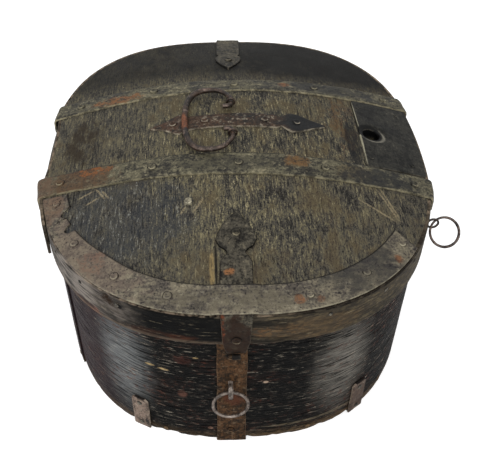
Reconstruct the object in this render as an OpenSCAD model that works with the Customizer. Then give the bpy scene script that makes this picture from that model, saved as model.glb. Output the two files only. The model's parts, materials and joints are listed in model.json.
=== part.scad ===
// Iron-bound bentwood offering box with a domed, hinged lid.
// Millimetres. Origin at the middle of the underside, +Z up, the hasp side faces -Y.

/* [Lid] */
// Width of the lid over its hoop
lid_w = 420; // [360:1:480]
// Depth of the lid over its hoop, front to back
lid_d = 480; // [420:1:540]
// Height of the lid's edge above the table
lid_edge_z = 214; // [170:1:260]
// Rise of the crown above the lid's edge
crown_rise = 41; // [28:0.5:50]
// Thickness of the domed board
board_t = 16; // [12:0.5:20]
// Height of the bent hoop round the lid
hoop_h = 40; // [32:1:50]
// Thickness of the hoop
hoop_t = 4; // [3:0.25:5]
// Thickness of the hoop's loose outer lap
lap_t = 3; // [2:0.25:4]

/* [Case] */
// Thickness of the bent side wall
wall_t = 6.5; // [5:0.25:9]
// Thickness of the base board
base_t = 14; // [10:0.5:20]
// Step at the lap of the side wall
wall_step = 2; // [1:0.25:2.5]
// Running clearance between the wall and the lid's hoop
lid_gap = 1.6; // [1.3:0.1:2.5]

/* [Ironwork] */
// Thickness of the straps and bands
iron_t = 2.2; // [1.5:0.1:3]
// Width of the front band across the lid
front_band_w = 29.4; // [22:0.1:34]
// Distance of the front band's middle in front of the lid's centre
front_band_y = 66; // [60:1:75]
// Width of the rear band across the lid
rear_band_w = 26.4; // [20:0.1:32]
// Distance of the rear band's middle behind the lid's centre
rear_band_y = 79; // [74:1:90]
// Length of the bands' ends bent down over the hoop
band_drop = 19; // [12:1:28]
// Width of the crescent plate round the front edge, as a share of the lid's radius
edge_plate_share = 0.128; // [0.1:0.002:0.16]
// Width of the straps down the case
strap_w = 30; // [24:1:36]
// Width of the handle plate
handle_plate_w = 26; // [20:1:30]
// Diameter of a rivet head
rivet_d = 9; // [6:0.5:10]
// Diameter of a nail head
nail_d = 5; // [4:0.5:7]
// Diameter of the coin hole
coin_hole_d = 20; // [16:1:26]
// Distance of the coin hole to the right of the lid's centre
coin_hole_x = 152; // [145:1:160]

/* [Hinge] */
// Diameter of the hinge pin
pin_d = 5; // [4:0.5:6]
// Outer diameter of the hinge knuckles
knuckle_d = 10.4; // [9.5:0.1:12]
// Length of the lid's own knuckle
knuckle_len = 11; // [8:0.5:14]

/* [Handle and rings] */
// Distance between the two handle eyes
eye_pitch = 56.5; // [52:0.5:62]
// Reach of the handle from its eyes to the middle of its bar
handle_reach = 51; // [44:1:56]
// Half of the handle's width along its bar
handle_half = 54; // [50:1:60]
// Diameter of the handle's bar at its middle
handle_bar_d = 7; // [6:0.25:8]
// Diameter of the handle's ends
handle_end_d = 5.2; // [4.5:0.1:5.6]
// Outer diameter of the front ring
front_ring_d = 39; // [34:1:42]
// Outer diameter of the side ring
side_ring_d = 35.5; // [28:0.5:38]
// Diameter of the rings' wire
ring_wire_d = 3.2; // [2.6:0.1:3.6]

/* [Hidden] */

steps = 24;                 // grid cells across the lid; the outlines have four times as many sides
front_power = 2.44;         // squareness of the oval plan in front of the centre
rear_power = 2.6;           // and behind it
crown_power = 1.6;          // how the crown falls away to the edge
seat = 0.15;                // gap between iron and the curved wood that it lies on
clear = 0.3;                // gap between pieces that move past each other
pin_gap = 0.05;             // radial running fit of the hinge pin
lid_a = lid_w / 2;
lid_b = lid_d / 2;
case_a = lid_a - hoop_t - lid_gap;
case_b = lid_b - hoop_t - lid_gap;
hoop_z = lid_edge_z - hoop_h;
wall_top = lid_edge_z + crown_rise * 0.037 - board_t;
knuckle_r = knuckle_d / 2;
hinge_y = lid_b + clear + knuckle_r;
hinge_z = hoop_z + 2;
groove = iron_t + 0.1;      // depth of the grooves under the base for turned-in iron

// ---- Plan oval and crown ----

function power_at(y) = y < 0 ? front_power : rear_power;
function spow(v, p) = sign(v) * pow(abs(v), p);
function oval_pt(t, a, b) = [a * spow(cos(t), 2 / power_at(sin(t))), b * spow(sin(t), 2 / power_at(sin(t)))];
function oval(a, b) = [for (i = [0 : 4 * steps - 1]) oval_pt(-45 + i * 90 / steps, a, b)];
function side_x(y, a, b) = a * pow(max(0, 1 - pow(abs(y) / b, power_at(y))), 1 / power_at(y));
function end_y(x, a, b, p) = b * pow(max(0, 1 - pow(abs(x) / a, p)), 1 / p);
function front_y(x, a, b) = -end_y(x, a, b, front_power);
function rear_y(x, a, b) = end_y(x, a, b, rear_power);
function radius_share(x, y) = let (p = power_at(y))
    pow(pow(abs(x) / lid_a, p) + pow(abs(y) / lid_b, p), 1 / p);
function crown_z(x, y) = lid_edge_z + crown_rise * (1 - pow(min(1, radius_share(x, y)), crown_power));
function slope_x(x, y) = (crown_z(x + 1, y) - crown_z(x - 1, y)) / 2;
function slope_y(x, y) = (crown_z(x, y + 1) - crown_z(x, y - 1)) / 2;
function normal_angle(t, a, b) = let (p = power_at(sin(t)), q = oval_pt(t, a, b))
    atan2(spow(q[1] / b, p - 1) / b, spow(q[0] / a, p - 1) / a);
function step_range(n, a, b) = [for (i = [0 : n]) a + (b - a) * i / n];

// ---- General solids ----

// A closed solid between a lower and an upper grid of points; rows x columns points to the upper side
module slab(lower, upper) {
    rows = len(lower);
    cols = len(lower[0]);
    count = rows * cols;
    function low(i, j) = i * cols + j;
    function up(i, j) = count + i * cols + j;
    tops = [for (i = [0 : rows - 2], j = [0 : cols - 2])
        each [[up(i, j), up(i, j + 1), up(i + 1, j + 1)], [up(i, j), up(i + 1, j + 1), up(i + 1, j)]]];
    bottoms = [for (i = [0 : rows - 2], j = [0 : cols - 2])
        each [[low(i, j), low(i + 1, j + 1), low(i, j + 1)], [low(i, j), low(i + 1, j), low(i + 1, j + 1)]]];
    sides = [for (i = [0 : rows - 2])
        each [[low(i, 0), up(i, 0), up(i + 1, 0)], [low(i, 0), up(i + 1, 0), low(i + 1, 0)],
            [low(i, cols - 1), up(i + 1, cols - 1), up(i, cols - 1)],
            [low(i, cols - 1), low(i + 1, cols - 1), up(i + 1, cols - 1)]]];
    ends = [for (j = [0 : cols - 2])
        each [[low(0, j + 1), up(0, j + 1), up(0, j)], [low(0, j + 1), up(0, j), low(0, j)],
            [low(rows - 1, j + 1), up(rows - 1, j), up(rows - 1, j + 1)],
            [low(rows - 1, j + 1), low(rows - 1, j), up(rows - 1, j)]]];
    polyhedron(points = concat([for (r = lower) each r], [for (r = upper) each r]),
        faces = concat(tops, bottoms, sides, ends));
}

// A rod along a path in one plane, with its own radius at each point; across is square to that plane
module rod(path, radii, across = [0, 0, 1], sides = 10) {
    last = len(path) - 1;
    function along(i) = let (d = path[min(last, i + 1)] - path[max(0, i - 1)]) d / norm(d);
    rings = [for (i = [0 : last]) let (u = along(i), s = cross(u, across))
        [for (k = [0 : sides - 1]) let (turn = k * 360 / sides)
            path[i] + radii[i] * (cos(turn) * s + sin(turn) * across)]];
    walls = [for (i = [0 : last - 1], k = [0 : sides - 1])
        let (n = (k + 1) % sides, a = i * sides, b = a + sides)
        each [[a + k, b + k, b + n], [a + k, b + n, a + n]]];
    caps = [[for (k = [0 : sides - 1]) k], [for (k = [sides - 1 : -1 : 0]) last * sides + k]];
    polyhedron(points = [for (r = rings) each r], faces = concat(walls, caps));
}

// A round-headed fastener: its head stands on z = 0 and its shank points down
module fastener(d, shank) {
    rotate_extrude($fn = 24)
        polygon([[0, -shank], [d * 0.2, -shank], [d * 0.24, -shank + 1], [d * 0.24, 0], [d / 2, 0],
            [d * 0.46, d * 0.12], [d * 0.33, d * 0.25], [d * 0.15, d * 0.31], [0, d * 0.32]]);
}

module ring(outer_d, wire_d) {
    rotate_extrude($fn = 64) translate([(outer_d - wire_d) / 2, 0]) circle(d = wire_d, $fn = 24);
}

// Stands its children on the crown, square to it, lift above the wood
module on_crown(x, y, lift = 0) {
    sx = slope_x(x, y);
    sy = slope_y(x, y);
    translate([x, y, crown_z(x, y)]) rotate([0, atan(norm([sx, sy])), atan2(-sy, -sx)])
        translate([0, 0, lift]) children();
}

// Stands its children on an upright oval face, +Z pointing outwards
module on_side(t, a, b, z, lift = 0) {
    q = oval_pt(t, a, b);
    translate([q[0], q[1], z]) rotate([0, 0, normal_angle(t, a, b)]) rotate([0, 90, 0])
        translate([0, 0, lift]) children();
}

// ---- Wooden case ----

lap_angle = 208;            // where the wall's outer layer ends, on the left
function wall_dip(t) = t > lap_angle && t < 245 ? wall_step * (245 - t) / (245 - lap_angle) : 0;
function wall_double(t) = t > 180 && t <= lap_angle ? wall_step * min(1, (t - 180) / 20) : 0;
function wall_angles() = concat([for (i = [0 : 4 * steps - 1]) let (t = -45 + i * 90 / steps)
    if (abs(t - lap_angle) > 2) t], [lap_angle, lap_angle + 0.25]);
function sorted(v) = len(v) < 2 ? v : let (p = v[floor(len(v) / 2)])
    concat(sorted([for (e = v) if (e < p) e]), [for (e = v) if (e == p) e],
        sorted([for (e = v) if (e > p) e]));
function wall_pt(t, inside) = oval_pt(t, case_a - wall_dip(t) - inside, case_b - wall_dip(t) - inside);
function wall_outer() = [for (t = sorted(wall_angles())) wall_pt(t, 0)];
function wall_inner() = [for (t = sorted(wall_angles())) wall_pt(t, wall_t + wall_double(t))];

clip_angles = [242, 304, 56, 124];          // front left, front right, rear right, rear left
clip_w = 20;
clip_h = 53;
foot_in = 24;               // how far turned-in iron reaches under the base
groove_room = 1.2;          // room past the turned-in straps, whose ends follow the oval
front_strap_x = -13.5;
rear_strap_x = -1;

module foot_grooves() {
    for (t = clip_angles)
        on_side(t, case_a, case_b, 0) translate([-groove, -clip_w / 2 - clear, -foot_in - clear])
            cube([groove * 2, clip_w + 2 * clear, foot_in + 10]);
    reach = foot_in + groove_room;
    for (s = [[front_strap_x, -case_b - 10], [rear_strap_x, case_b - reach]])
        translate([s[0] - strap_w / 2 - clear, s[1], -groove])
            cube([strap_w + 2 * clear, reach + 10, 2 * groove]);
}

module base_board() {
    color("#4a3a28") difference() {
        linear_extrude(base_t) polygon(wall_inner());
        foot_grooves();
    }
}

module side_wall() {
    color("#1d1a17") difference() {
        linear_extrude(wall_top) polygon(points = concat(wall_outer(), wall_inner()),
            paths = [[for (i = [0 : len(wall_outer()) - 1]) i],
                [for (i = [0 : len(wall_inner()) - 1]) len(wall_outer()) + i]]);
        foot_grooves();
    }
}

peg_angles = [8, 28, 76, 104, 152, 172, 188, 205, 250, 286, 318, 340];
module wall_pegs() {
    color("#5a4630") for (t = peg_angles)
        on_side(t, case_a, case_b, base_t / 2, 0.4) translate([0, 0, -wall_t - 12])
            cylinder(d = 5, h = wall_t + 12, $fn = 20);
}

// ---- Iron on the case ----

strap_kick = 2;             // how far the straps stand off at the foot
strap_top = hoop_z - 1;
foot_rivet_z = 22;          // height of the lowest rivet in each strap

// A strap down the front (side -1) or back (side 1) of the case, turned under the base
module case_strap(x0, side, top) {
    xs = step_range(4, x0 - side * -strap_w / 2, x0 + side * -strap_w / 2);
    function face_y(x) = side < 0 ? front_y(x, case_a, case_b) : rear_y(x, case_a, case_b);
    function pt(x, out, z) = [x, face_y(x) + side * out, z];
    zs = [top, top * 0.6, 30, 10];
    inner = [for (z = zs) [for (x = xs) pt(x, seat, z)]];
    outer = [for (z = zs) [for (x = xs) pt(x, seat + iron_t, z)]];
    slab(concat(inner, [[for (x = xs) pt(x, seat, groove)]], [[for (x = xs) pt(x, -foot_in, groove)]]),
        concat(outer, [[for (x = xs) pt(x, seat + iron_t + strap_kick, 0.1)]],
            [[for (x = xs) pt(x, -foot_in, 0.1)]]));
}

module front_strap() {
    color("#5a4028") case_strap(front_strap_x, -1, strap_top);
}

module front_strap_rivets() {
    color("#6b4a2f") for (z = [strap_top - 21, foot_rivet_z])
        translate([front_strap_x - 1, front_y(front_strap_x, case_a, case_b) - seat - iron_t, z])
            rotate([90, 0, 0]) fastener(rivet_d * 0.8, iron_t + wall_t * 0.8);
}

staple_wire = 4;
staple_out = 10;            // how far the staple's bar stands off the strap
staple_x = front_strap_x - 1.5;
front_ring_z = 98.5;          // height of the ring's wire in the staple
staple_face = front_y(staple_x, case_a, case_b) - seat - iron_t;
staple_low = front_ring_z - ring_wire_d / 2 - staple_wire / 2 - clear;
staple_high = front_ring_z + 12;

module front_staple() {
    color("#8b7f78") {
        for (z = [staple_low, staple_high])
            translate([staple_x, staple_face + iron_t + wall_t * 0.8, z]) rotate([90, 0, 0])
                cylinder(d = staple_wire, h = staple_out + iron_t + wall_t * 0.8, $fn = 20);
        translate([staple_x, staple_face - staple_out, staple_low])
            cylinder(d = staple_wire, h = staple_high - staple_low, $fn = 20);
        for (z = [staple_low, staple_high])
            translate([staple_x, staple_face - staple_out, z]) sphere(d = staple_wire, $fn = 20);
    }
}

front_ring_y = staple_face - 5;
front_ring_tilt = 8;        // the ring's lower side stands a little out from the strap
module front_ring() {
    color("#8b7f78") translate([staple_x, front_ring_y, front_ring_z]) rotate([-front_ring_tilt, 0, 0])
        translate([0, 0, -(front_ring_d - ring_wire_d) / 2]) rotate([90, 0, 0])
            ring(front_ring_d, ring_wire_d);
}

module foot_clip(t) {
    color("#4c3524") on_side(t, case_a, case_b, 0) {
        translate([-clip_h, -clip_w / 2, clear]) cube([clip_h - 0.1, clip_w, iron_t]);
        translate([-groove, -clip_w / 2, -foot_in]) cube([iron_t, clip_w, foot_in + clear + iron_t]);
    }
}
module foot_clip_front_left() foot_clip(clip_angles[0]);
module foot_clip_front_right() foot_clip(clip_angles[1]);
module foot_clip_rear_right() foot_clip(clip_angles[2]);
module foot_clip_rear_left() foot_clip(clip_angles[3]);

module foot_clip_nails() {
    color("#6b4a2f") for (t = clip_angles, z = [8, clip_h - 9])
        on_side(t, case_a, case_b, z, clear + iron_t) fastener(nail_d, iron_t + wall_t * 0.8);
}

// ---- Hinge ----

leaf_gap = 0.4;             // end play between the knuckles
leaf_bend_z = hoop_z - 12;  // where the rear strap leaves the wall for the pin

module knuckle(x0, x1) {
    translate([x0, hinge_y, hinge_z]) rotate([0, 90, 0]) cylinder(r = knuckle_r, h = x1 - x0, $fn = 48);
}
module pin_bore(extra = pin_gap) {
    translate([rear_strap_x - strap_w, hinge_y, hinge_z]) rotate([0, 90, 0])
        cylinder(r = pin_d / 2 + extra, h = 2 * strap_w, $fn = 48);
}

module rear_strap() {
    half = strap_w / 2;
    inner_end = knuckle_len / 2 + leaf_gap;
    wall_y = rear_y(rear_strap_x, case_a, case_b) + seat;
    color("#3d2c20") difference() {
        union() {
            case_strap(rear_strap_x, 1, leaf_bend_z);
            for (x = [[-half, -inner_end], [inner_end, half]]) {
                knuckle(rear_strap_x + x[0], rear_strap_x + x[1]);
                translate([rear_strap_x + x[0], 0, 0]) rotate([90, 0, 90]) linear_extrude(x[1] - x[0])
                    polygon([[wall_y, leaf_bend_z - 3], [wall_y + iron_t, leaf_bend_z - 3],
                        [wall_y + iron_t, leaf_bend_z], [hinge_y + 3, hinge_z - knuckle_r + 1],
                        [hinge_y, hinge_z - 1], [hinge_y - 3.5, hinge_z - knuckle_r + 1.2],
                        [wall_y, leaf_bend_z]]);
            }
        }
        pin_bore();
    }
}

module rear_strap_rivets() {
    color("#6b4a2f") for (z = [leaf_bend_z - 22, leaf_bend_z / 2, foot_rivet_z])
        translate([rear_strap_x, rear_y(rear_strap_x, case_a, case_b) + seat + iron_t, z]) rotate([-90, 0, 0])
            fastener(rivet_d * 0.8, iron_t + wall_t * 0.8);
}

module hinge_pin() {
    half = strap_w / 2;
    color("#6b4a2f") {
        translate([rear_strap_x - half - 1, hinge_y, hinge_z]) rotate([0, 90, 0])
            cylinder(d = pin_d, h = strap_w + 2, $fn = 48);
        for (x = [-half - 3, half + 0.5])
            translate([rear_strap_x + x, hinge_y, hinge_z]) rotate([0, 90, 0])
                cylinder(d = pin_d + 2.4, h = 2.5, $fn = 32);
    }
}

// ---- Wooden lid ----

board_a = lid_a - hoop_t;
board_b = lid_b - hoop_t;

// A point of the board's plan; the square grid is bent into the oval
function grid_pt(s, t) = let (m = max(abs(s), abs(t)),
        angle = m == 0 ? 0 : abs(s) >= abs(t)
            ? (s > 0 ? 45 * t / s : 180 + 45 * t / s)
            : (t > 0 ? 90 - 45 * s / t : 270 - 45 * s / t))
    m * oval_pt(angle, board_a, board_b);
function board_under(q, m) = m > 0.94 ? wall_top : crown_z(q[0], q[1]) - board_t;

module lid_board() {
    ticks = [for (i = [0 : steps]) -1 + 2 * i / steps];
    plan = [for (s = ticks) [for (t = ticks) let (q = grid_pt(s, t)) [q[0], q[1], max(abs(s), abs(t))]]];
    color("#4f493a") difference() {
        slab([for (row = plan) [for (p = row) [p[0], p[1], board_under(p, p[2])]]],
            [for (row = plan) [for (p = row) [p[0], p[1], crown_z(p[0], p[1])]]]);
        coin_bore(coin_hole_d - 1);
    }
}

hoop_lap_from = 168;        // where the hoop's outer layer leaves the ring, on the left
hoop_lap_to = 207;          // its loose end, in front of the front band's end
lap_rise = 4.2;             // how far the outer layer stands out under the front band
lap_spring = 3.2;           // how far its loose end has sprung off

module lid_hoop() {
    angles = step_range(13, hoop_lap_from, hoop_lap_to);
    function rise(t) = lap_rise * min(1, (t - hoop_lap_from) / 16) + lap_spring * max(0, (t - 197) / 10);
    function ring_pt(t, out, z) = concat(oval_pt(t, lid_a + out, lid_b + out), [z]);
    levels = [hoop_z, lid_edge_z - 1];
    sides = 4 * steps;
    loops = [[for (i = [0 : sides - 1]) i], [for (i = [0 : sides - 1]) sides + i]];
    color("#4a4235") union() {
        translate([0, 0, hoop_z]) linear_extrude(hoop_h)
            polygon(points = concat(oval(lid_a, lid_b), oval(board_a, board_b)), paths = loops);
        slab([for (t = angles) [for (z = levels) ring_pt(t, max(-1.5, rise(t) - lap_t), z)]],
            [for (t = angles) [for (z = levels) ring_pt(t, rise(t) + 0.2, z)]]);
    }
}

hoop_nail_angles = [4, 30, 52, 74, 106, 128, 150, 212, 226, 240, 287, 305, 320];
module lid_hoop_nails() {
    color("#2b2722") for (t = hoop_nail_angles)
        on_side(t, lid_a, lid_b, lid_edge_z - 9, 0) fastener(nail_d * 0.8, hoop_t + 8);
}

// ---- Iron on the lid ----

front_band_skew = -7.2;     // how far the front band's right end comes forward
rear_band_skew = 3.5;       // how far the rear band's right end goes back
left_stand = lap_rise + 0.7; // how far the front band's left end stands off the hoop
tab_stand = 1.2;            // and the other ends
tab_bend = 0.7;             // how far below the lid's edge the ends turn down
band_share = 0.985;         // how far out the band lies on the crown, as a share of its half width

// A band across the crown, its ends bent down over the hoop
module cross_band(y0, w, skew, left_out) {
    ys = step_range(4, y0 - w / 2, y0 + w / 2);
    function y_at(x, y) = y + skew * x / lid_a;
    function edge(y, side) = side * side_x(y_at(side * lid_a, y), lid_a, lid_b);
    function tab(y, side, out, z) = [edge(y, side) + side * out, y_at(side * lid_a, y), z];
    function out_at(side) = side < 0 ? left_out : tab_stand;
    function over(x, y, lift) = [x, y_at(x, y), crown_z(x, y_at(x, y)) + lift];
    function corner(y, side, out) =
        tab(y, side, out_at(side) * 0.55 + out * 0.75, lid_edge_z + seat + out * 0.7);
    inner_share = step_range(24, -band_share, band_share);
    low_z = lid_edge_z - band_drop;
    function rows(lift, side) = [
        [for (y = ys) tab(y, side, out_at(side) + lift - seat, low_z)],
        [for (y = ys) tab(y, side, out_at(side) + lift - seat, lid_edge_z - tab_bend)],
        [for (y = ys) corner(y, side, lift - seat)]];
    function middle(lift) = [for (s = inner_share) [for (y = ys) over(s * edge(y, 1), y, lift)]];
    function flipped(v) = [for (i = [len(v) - 1 : -1 : 0]) v[i]];
    slab(concat(rows(seat, -1), middle(seat), flipped(rows(seat, 1))),
        concat(rows(seat + iron_t, -1), middle(seat + iron_t), flipped(rows(seat + iron_t, 1))));
}

module front_band() {
    color("#35322d") cross_band(-front_band_y, front_band_w, front_band_skew, left_stand);
}
module rear_band() {
    color("#35322d") cross_band(rear_band_y, rear_band_w, rear_band_skew, tab_stand);
}

module rivets_on_crown(places, d, lift, shank) {
    for (p = places) on_crown(p[0], p[1], lift) fastener(d, shank);
}
// Places along a band, as shares of the lid's half width
function band_places(y0, skew, shares) = [for (s = shares) [s * lid_a, y0 + skew * s]];
module front_band_rivets() {
    places = band_places(-front_band_y, front_band_skew, [-0.886, -0.424, -0.005, 0.424, 0.886]);
    color("#3f3831") rivets_on_crown(places, rivet_d, seat + iron_t, iron_t + board_t * 0.7);
}
module rear_band_rivets() {
    places = band_places(rear_band_y, rear_band_skew, [-0.848, -0.438, 0.005, 0.452, 0.857]);
    color("#3f3831") rivets_on_crown(places, rivet_d, seat + iron_t, iron_t + board_t * 0.7);
}

// The crescent plate: two round bites at its left end, raised where the hasp strap runs under it
hasp_x = -10;
crescent_from = 194.3;      // angle of its left end at the lid's edge, just in front of the front band
crescent_slant = 2.9;       // and how much further round that end lies at its inner edge
crescent_to = 322;
crescent_in = 1 - edge_plate_share;
crescent_out = 0.992;       // its outer edge, as a share of the lid's radius
function bite(t, at, r, depth) = abs(t - at) < r ? depth * sqrt(1 - pow((t - at) / r, 2)) : 0;
function crescent_share(t) = crescent_in + bite(t, 204.5, 2.2, 0.048) + bite(t, 210.9, 2.1, 0.038)
    + (t > 206 ? max(0, 0.03 * (1 - (t - 206) / 22)) : 0);
function hasp_lift(x) = (iron_t + 0.2) * max(0, min(1, (strap_w / 2 + 9 - abs(x - hasp_x)) / 6));

module front_edge_plate() {
    along = step_range(100, 0, 1);
    shares = [1, 0.66, 0.33, 0];
    function pt(u, k, lift) = let (from = crescent_from + crescent_slant * k,
            t = from + u * (crescent_to - from),
            s = crescent_out - k * (crescent_out - crescent_share(t)),
            q = s * oval_pt(t, lid_a, lid_b))
        [q[0], q[1], crown_z(q[0], q[1]) + lift + hasp_lift(q[0])];
    color("#5a534a") slab([for (u = along) [for (k = shares) pt(u, k, seat)]],
        [for (u = along) [for (k = shares) pt(u, k, seat + iron_t * 0.8)]]);
}
module front_edge_rivets() {
    places = [[199, 0.93], [217, 0.93], [236, 0.93], [253, 0.935], [283, 0.935], [301.5, 0.925],
        [319, 0.93]];
    color("#4a443c") for (p = places)
        let (q = p[1] * oval_pt(p[0], lid_a, lid_b))
        on_crown(q[0], q[1], seat + iron_t * 0.8 + hasp_lift(q[0]))
            fastener(rivet_d * 0.9, iron_t + board_t * 0.6);
}

// Handle plate: an arrowhead at its left end and a teardrop at its right
handle_y = 2;
plate_outline = [[-94, 0.06], [-78, 0.55], [-63, 1.38], [-58, 1.2], [-52, 0.92], [44, 0.9], [50, 0.62],
    [55, 1.05], [60, 1.3], [68, 1.18], [82, 0.62], [99, 0.06]];
module handle_plate() {
    xs = [-94, -86, -78, -70, -63, -58, -52, -40, -28, -16, -4, 8, 20, 32, 44, 50, 55, 60, 64, 68, 75,
        82, 90, 99];
    function pt(x, k, lift) = let (y = handle_y + k * lookup(x, plate_outline) * handle_plate_w / 2)
        [x, y, crown_z(x, y) + lift];
    color("#4a3b2c") slab([for (x = xs) [for (k = [-1, -0.5, 0, 0.5, 1]) pt(x, k, seat)]],
        [for (x = xs) [for (k = [-1, -0.5, 0, 0.5, 1]) pt(x, k, seat + iron_t)]]);
}
module handle_plate_rivets() {
    places = [for (x = [-68.5, -34, 31, 66]) [x, handle_y]];
    color("#4a3b2c") rivets_on_crown(places, rivet_d, seat + iron_t, iron_t + board_t * 0.7);
}

handle_x = -5;              // the handle's pivot line, over the middle of the lid
eye_wire = 2.6;
eye_bore = handle_end_d + 0.8;
eye_mid_d = eye_bore + eye_wire;
handle_z = crown_z(handle_x, handle_y) + eye_mid_d / 2 + eye_wire / 2 - 0.6;
module handle_eye(y) {
    color("#4b4139") translate([handle_x, y, handle_z]) {
        rotate([90, 0, 0]) ring(eye_mid_d + eye_wire, eye_wire);
        translate([0, 0, -eye_mid_d / 2 - board_t * 0.7])
            cylinder(d = eye_wire + 1, h = board_t * 0.7, $fn = 24);
    }
}
module handle_eye_front() handle_eye(handle_y - eye_pitch / 2);
module handle_eye_rear() handle_eye(handle_y + eye_pitch / 2);

// The handle lies to the left on the handle plate; its ends pass the eyes and turn in
bar_gap = handle_z - handle_bar_d / 2 - crown_z(handle_x - handle_reach, handle_y) - seat - iron_t - clear;
handle_drop = asin(bar_gap / handle_reach);
module carrying_handle() {
    oval_half = (handle_reach + 3) / 2;
    function side_pts(t) =
        [3 - oval_half + oval_half * spow(cos(t), 0.77), handle_half * spow(sin(t), 0.77), 0];
    end = eye_pitch / 2;
    start = asin(pow((end + 14) / handle_half, 1.3));
    rear_end = [[-9, end - 7.6, 0], [-4, end - 7.4, 0], [-1, end - 5.6, 0], [0, end - 2.5, 0],
        [0, end + 3, 0], [-0.4, end + 8, 0]];
    bow = [for (t = step_range(30, start, 360 - start)) side_pts(t)];
    front_end = [for (i = [5 : -1 : 0]) [rear_end[i][0], -rear_end[i][1], 0]];
    path = concat(rear_end, bow, front_end);
    function swell(x) = max(0, min(1, -x / handle_reach * 1.15));
    thick = [for (p = path) (handle_end_d + (handle_bar_d - handle_end_d) * swell(p[0])) / 2];
    color("#5c4a3e") translate([handle_x, handle_y, handle_z]) rotate([0, -handle_drop, 0])
        rod(path, thick, [0, 0, 1], 12);
}

// Coin plate between the two bands at the right, with the hole through plate and board
coin_y = 6;
coin_left = coin_hole_x - 15;
coin_front_y = -front_band_y + front_band_w / 2 + front_band_skew * 0.7 + 1.5;
coin_rear_y = rear_band_y - rear_band_w / 2 + rear_band_skew * 0.6 - 0.8;
coin_nail_in = 14;          // distance of its nails from the bands
module coin_bore(d) {
    translate([coin_hole_x, coin_y, wall_top - board_t])
        cylinder(d = d, h = board_t * 2 + crown_rise, $fn = 48);
}
module coin_plate() {
    ys = step_range(12, coin_front_y, coin_rear_y);
    shares = step_range(7, 0, 1);
    function pt(k, y, lift) = let (x = coin_left + k * (band_share * side_x(y, lid_a, lid_b) - coin_left))
        [x, y, crown_z(x, y) + lift];
    color("#4a4038") difference() {
        slab([for (k = shares) [for (y = ys) pt(k, y, seat)]],
            [for (k = shares) [for (y = ys) pt(k, y, seat + iron_t * 0.7)]]);
        coin_bore(coin_hole_d);
    }
}
module coin_plate_nails() {
    ys = [coin_front_y + coin_nail_in, coin_rear_y - coin_nail_in];
    places = concat([for (y = ys) [coin_left + nail_d * 1.4, y]],
        [for (y = ys) [side_x(y, lid_a, lid_b) - 18, y]]);
    color("#4a3b2c") rivets_on_crown(places, nail_d, seat + iron_t * 0.7, board_t * 0.6);
}

// Outlines of the spade heads: distance from the lid's edge, and half width as a share of the strap's width
hasp_head = [[0, 0.517], [54, 0.517], [60, 0.417], [64, 0.3], [69, 0.4], [74, 0.617], [79, 0.667], [88, 0.6],
    [98, 0.417], [106, 0.2], [113, 0.02]];
tongue_end = hoop_z - 14;   // how low the hasp's tongue reaches

// Strap over the front edge: a spade head on the crown, a tapered tongue and the stub of the broken hasp
module hasp_strap() {
    ins = [113, 110, 106, 102, 98, 93, 88, 83, 79, 74, 69, 66, 64, 60, 54, 40, 26, 12];
    ks = [-1, -0.5, 0, 0.5, 1];
    function over(d, k, lift) =
        let (y = d - lid_b, x = hasp_x + d / 28 + k * strap_w * lookup(d, hasp_head))
        [x, y, crown_z(x, y) + lift];
    function down(k, out, z, half) = let (x = hasp_x + k * half * strap_w)
        [x, front_y(x, lid_a, lid_b) - out, z];
    function tail(lift) = [
        [for (k = ks) down(k, -4, crown_z(hasp_x, -lid_b + 4) + lift, 0.507)],
        [for (k = ks) down(k, lift * 0.8, lid_edge_z + lift * 0.8, 0.5)],
        [for (k = ks) down(k, lift, lid_edge_z - 5, 0.493)],
        [for (k = ks) down(k, lift, hoop_z + 10, 0.383)],
        [for (k = ks) down(k, lift + 0.4, tongue_end, 0.283)]];
    function rows(lift) = concat([for (d = ins) [for (k = ks) over(d, k, lift)]], tail(lift));
    color("#5a4028") union() {
        slab(rows(seat), rows(seat + iron_t));
        translate([hasp_x - 8, front_y(hasp_x, lid_a, lid_b) - seat - iron_t - 1.6, tongue_end])
            rotate([0, 90, 0]) cylinder(d = 5.6, h = 8, $fn = 24);
    }
}
spade_rivet_in = 86;        // distance of the spade heads' rivets from the lid's edge
module hasp_strap_rivets() {
    color("#6b4a2f") {
        on_crown(hasp_x + 3, spade_rivet_in - lid_b, seat + iron_t) fastener(rivet_d, iron_t + board_t * 0.7);
        translate([hasp_x, front_y(hasp_x, lid_a, lid_b) - seat - iron_t, hoop_z + 10]) rotate([90, 0, 0])
            fastener(rivet_d, iron_t + hoop_t * 0.9);
    }
}

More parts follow.
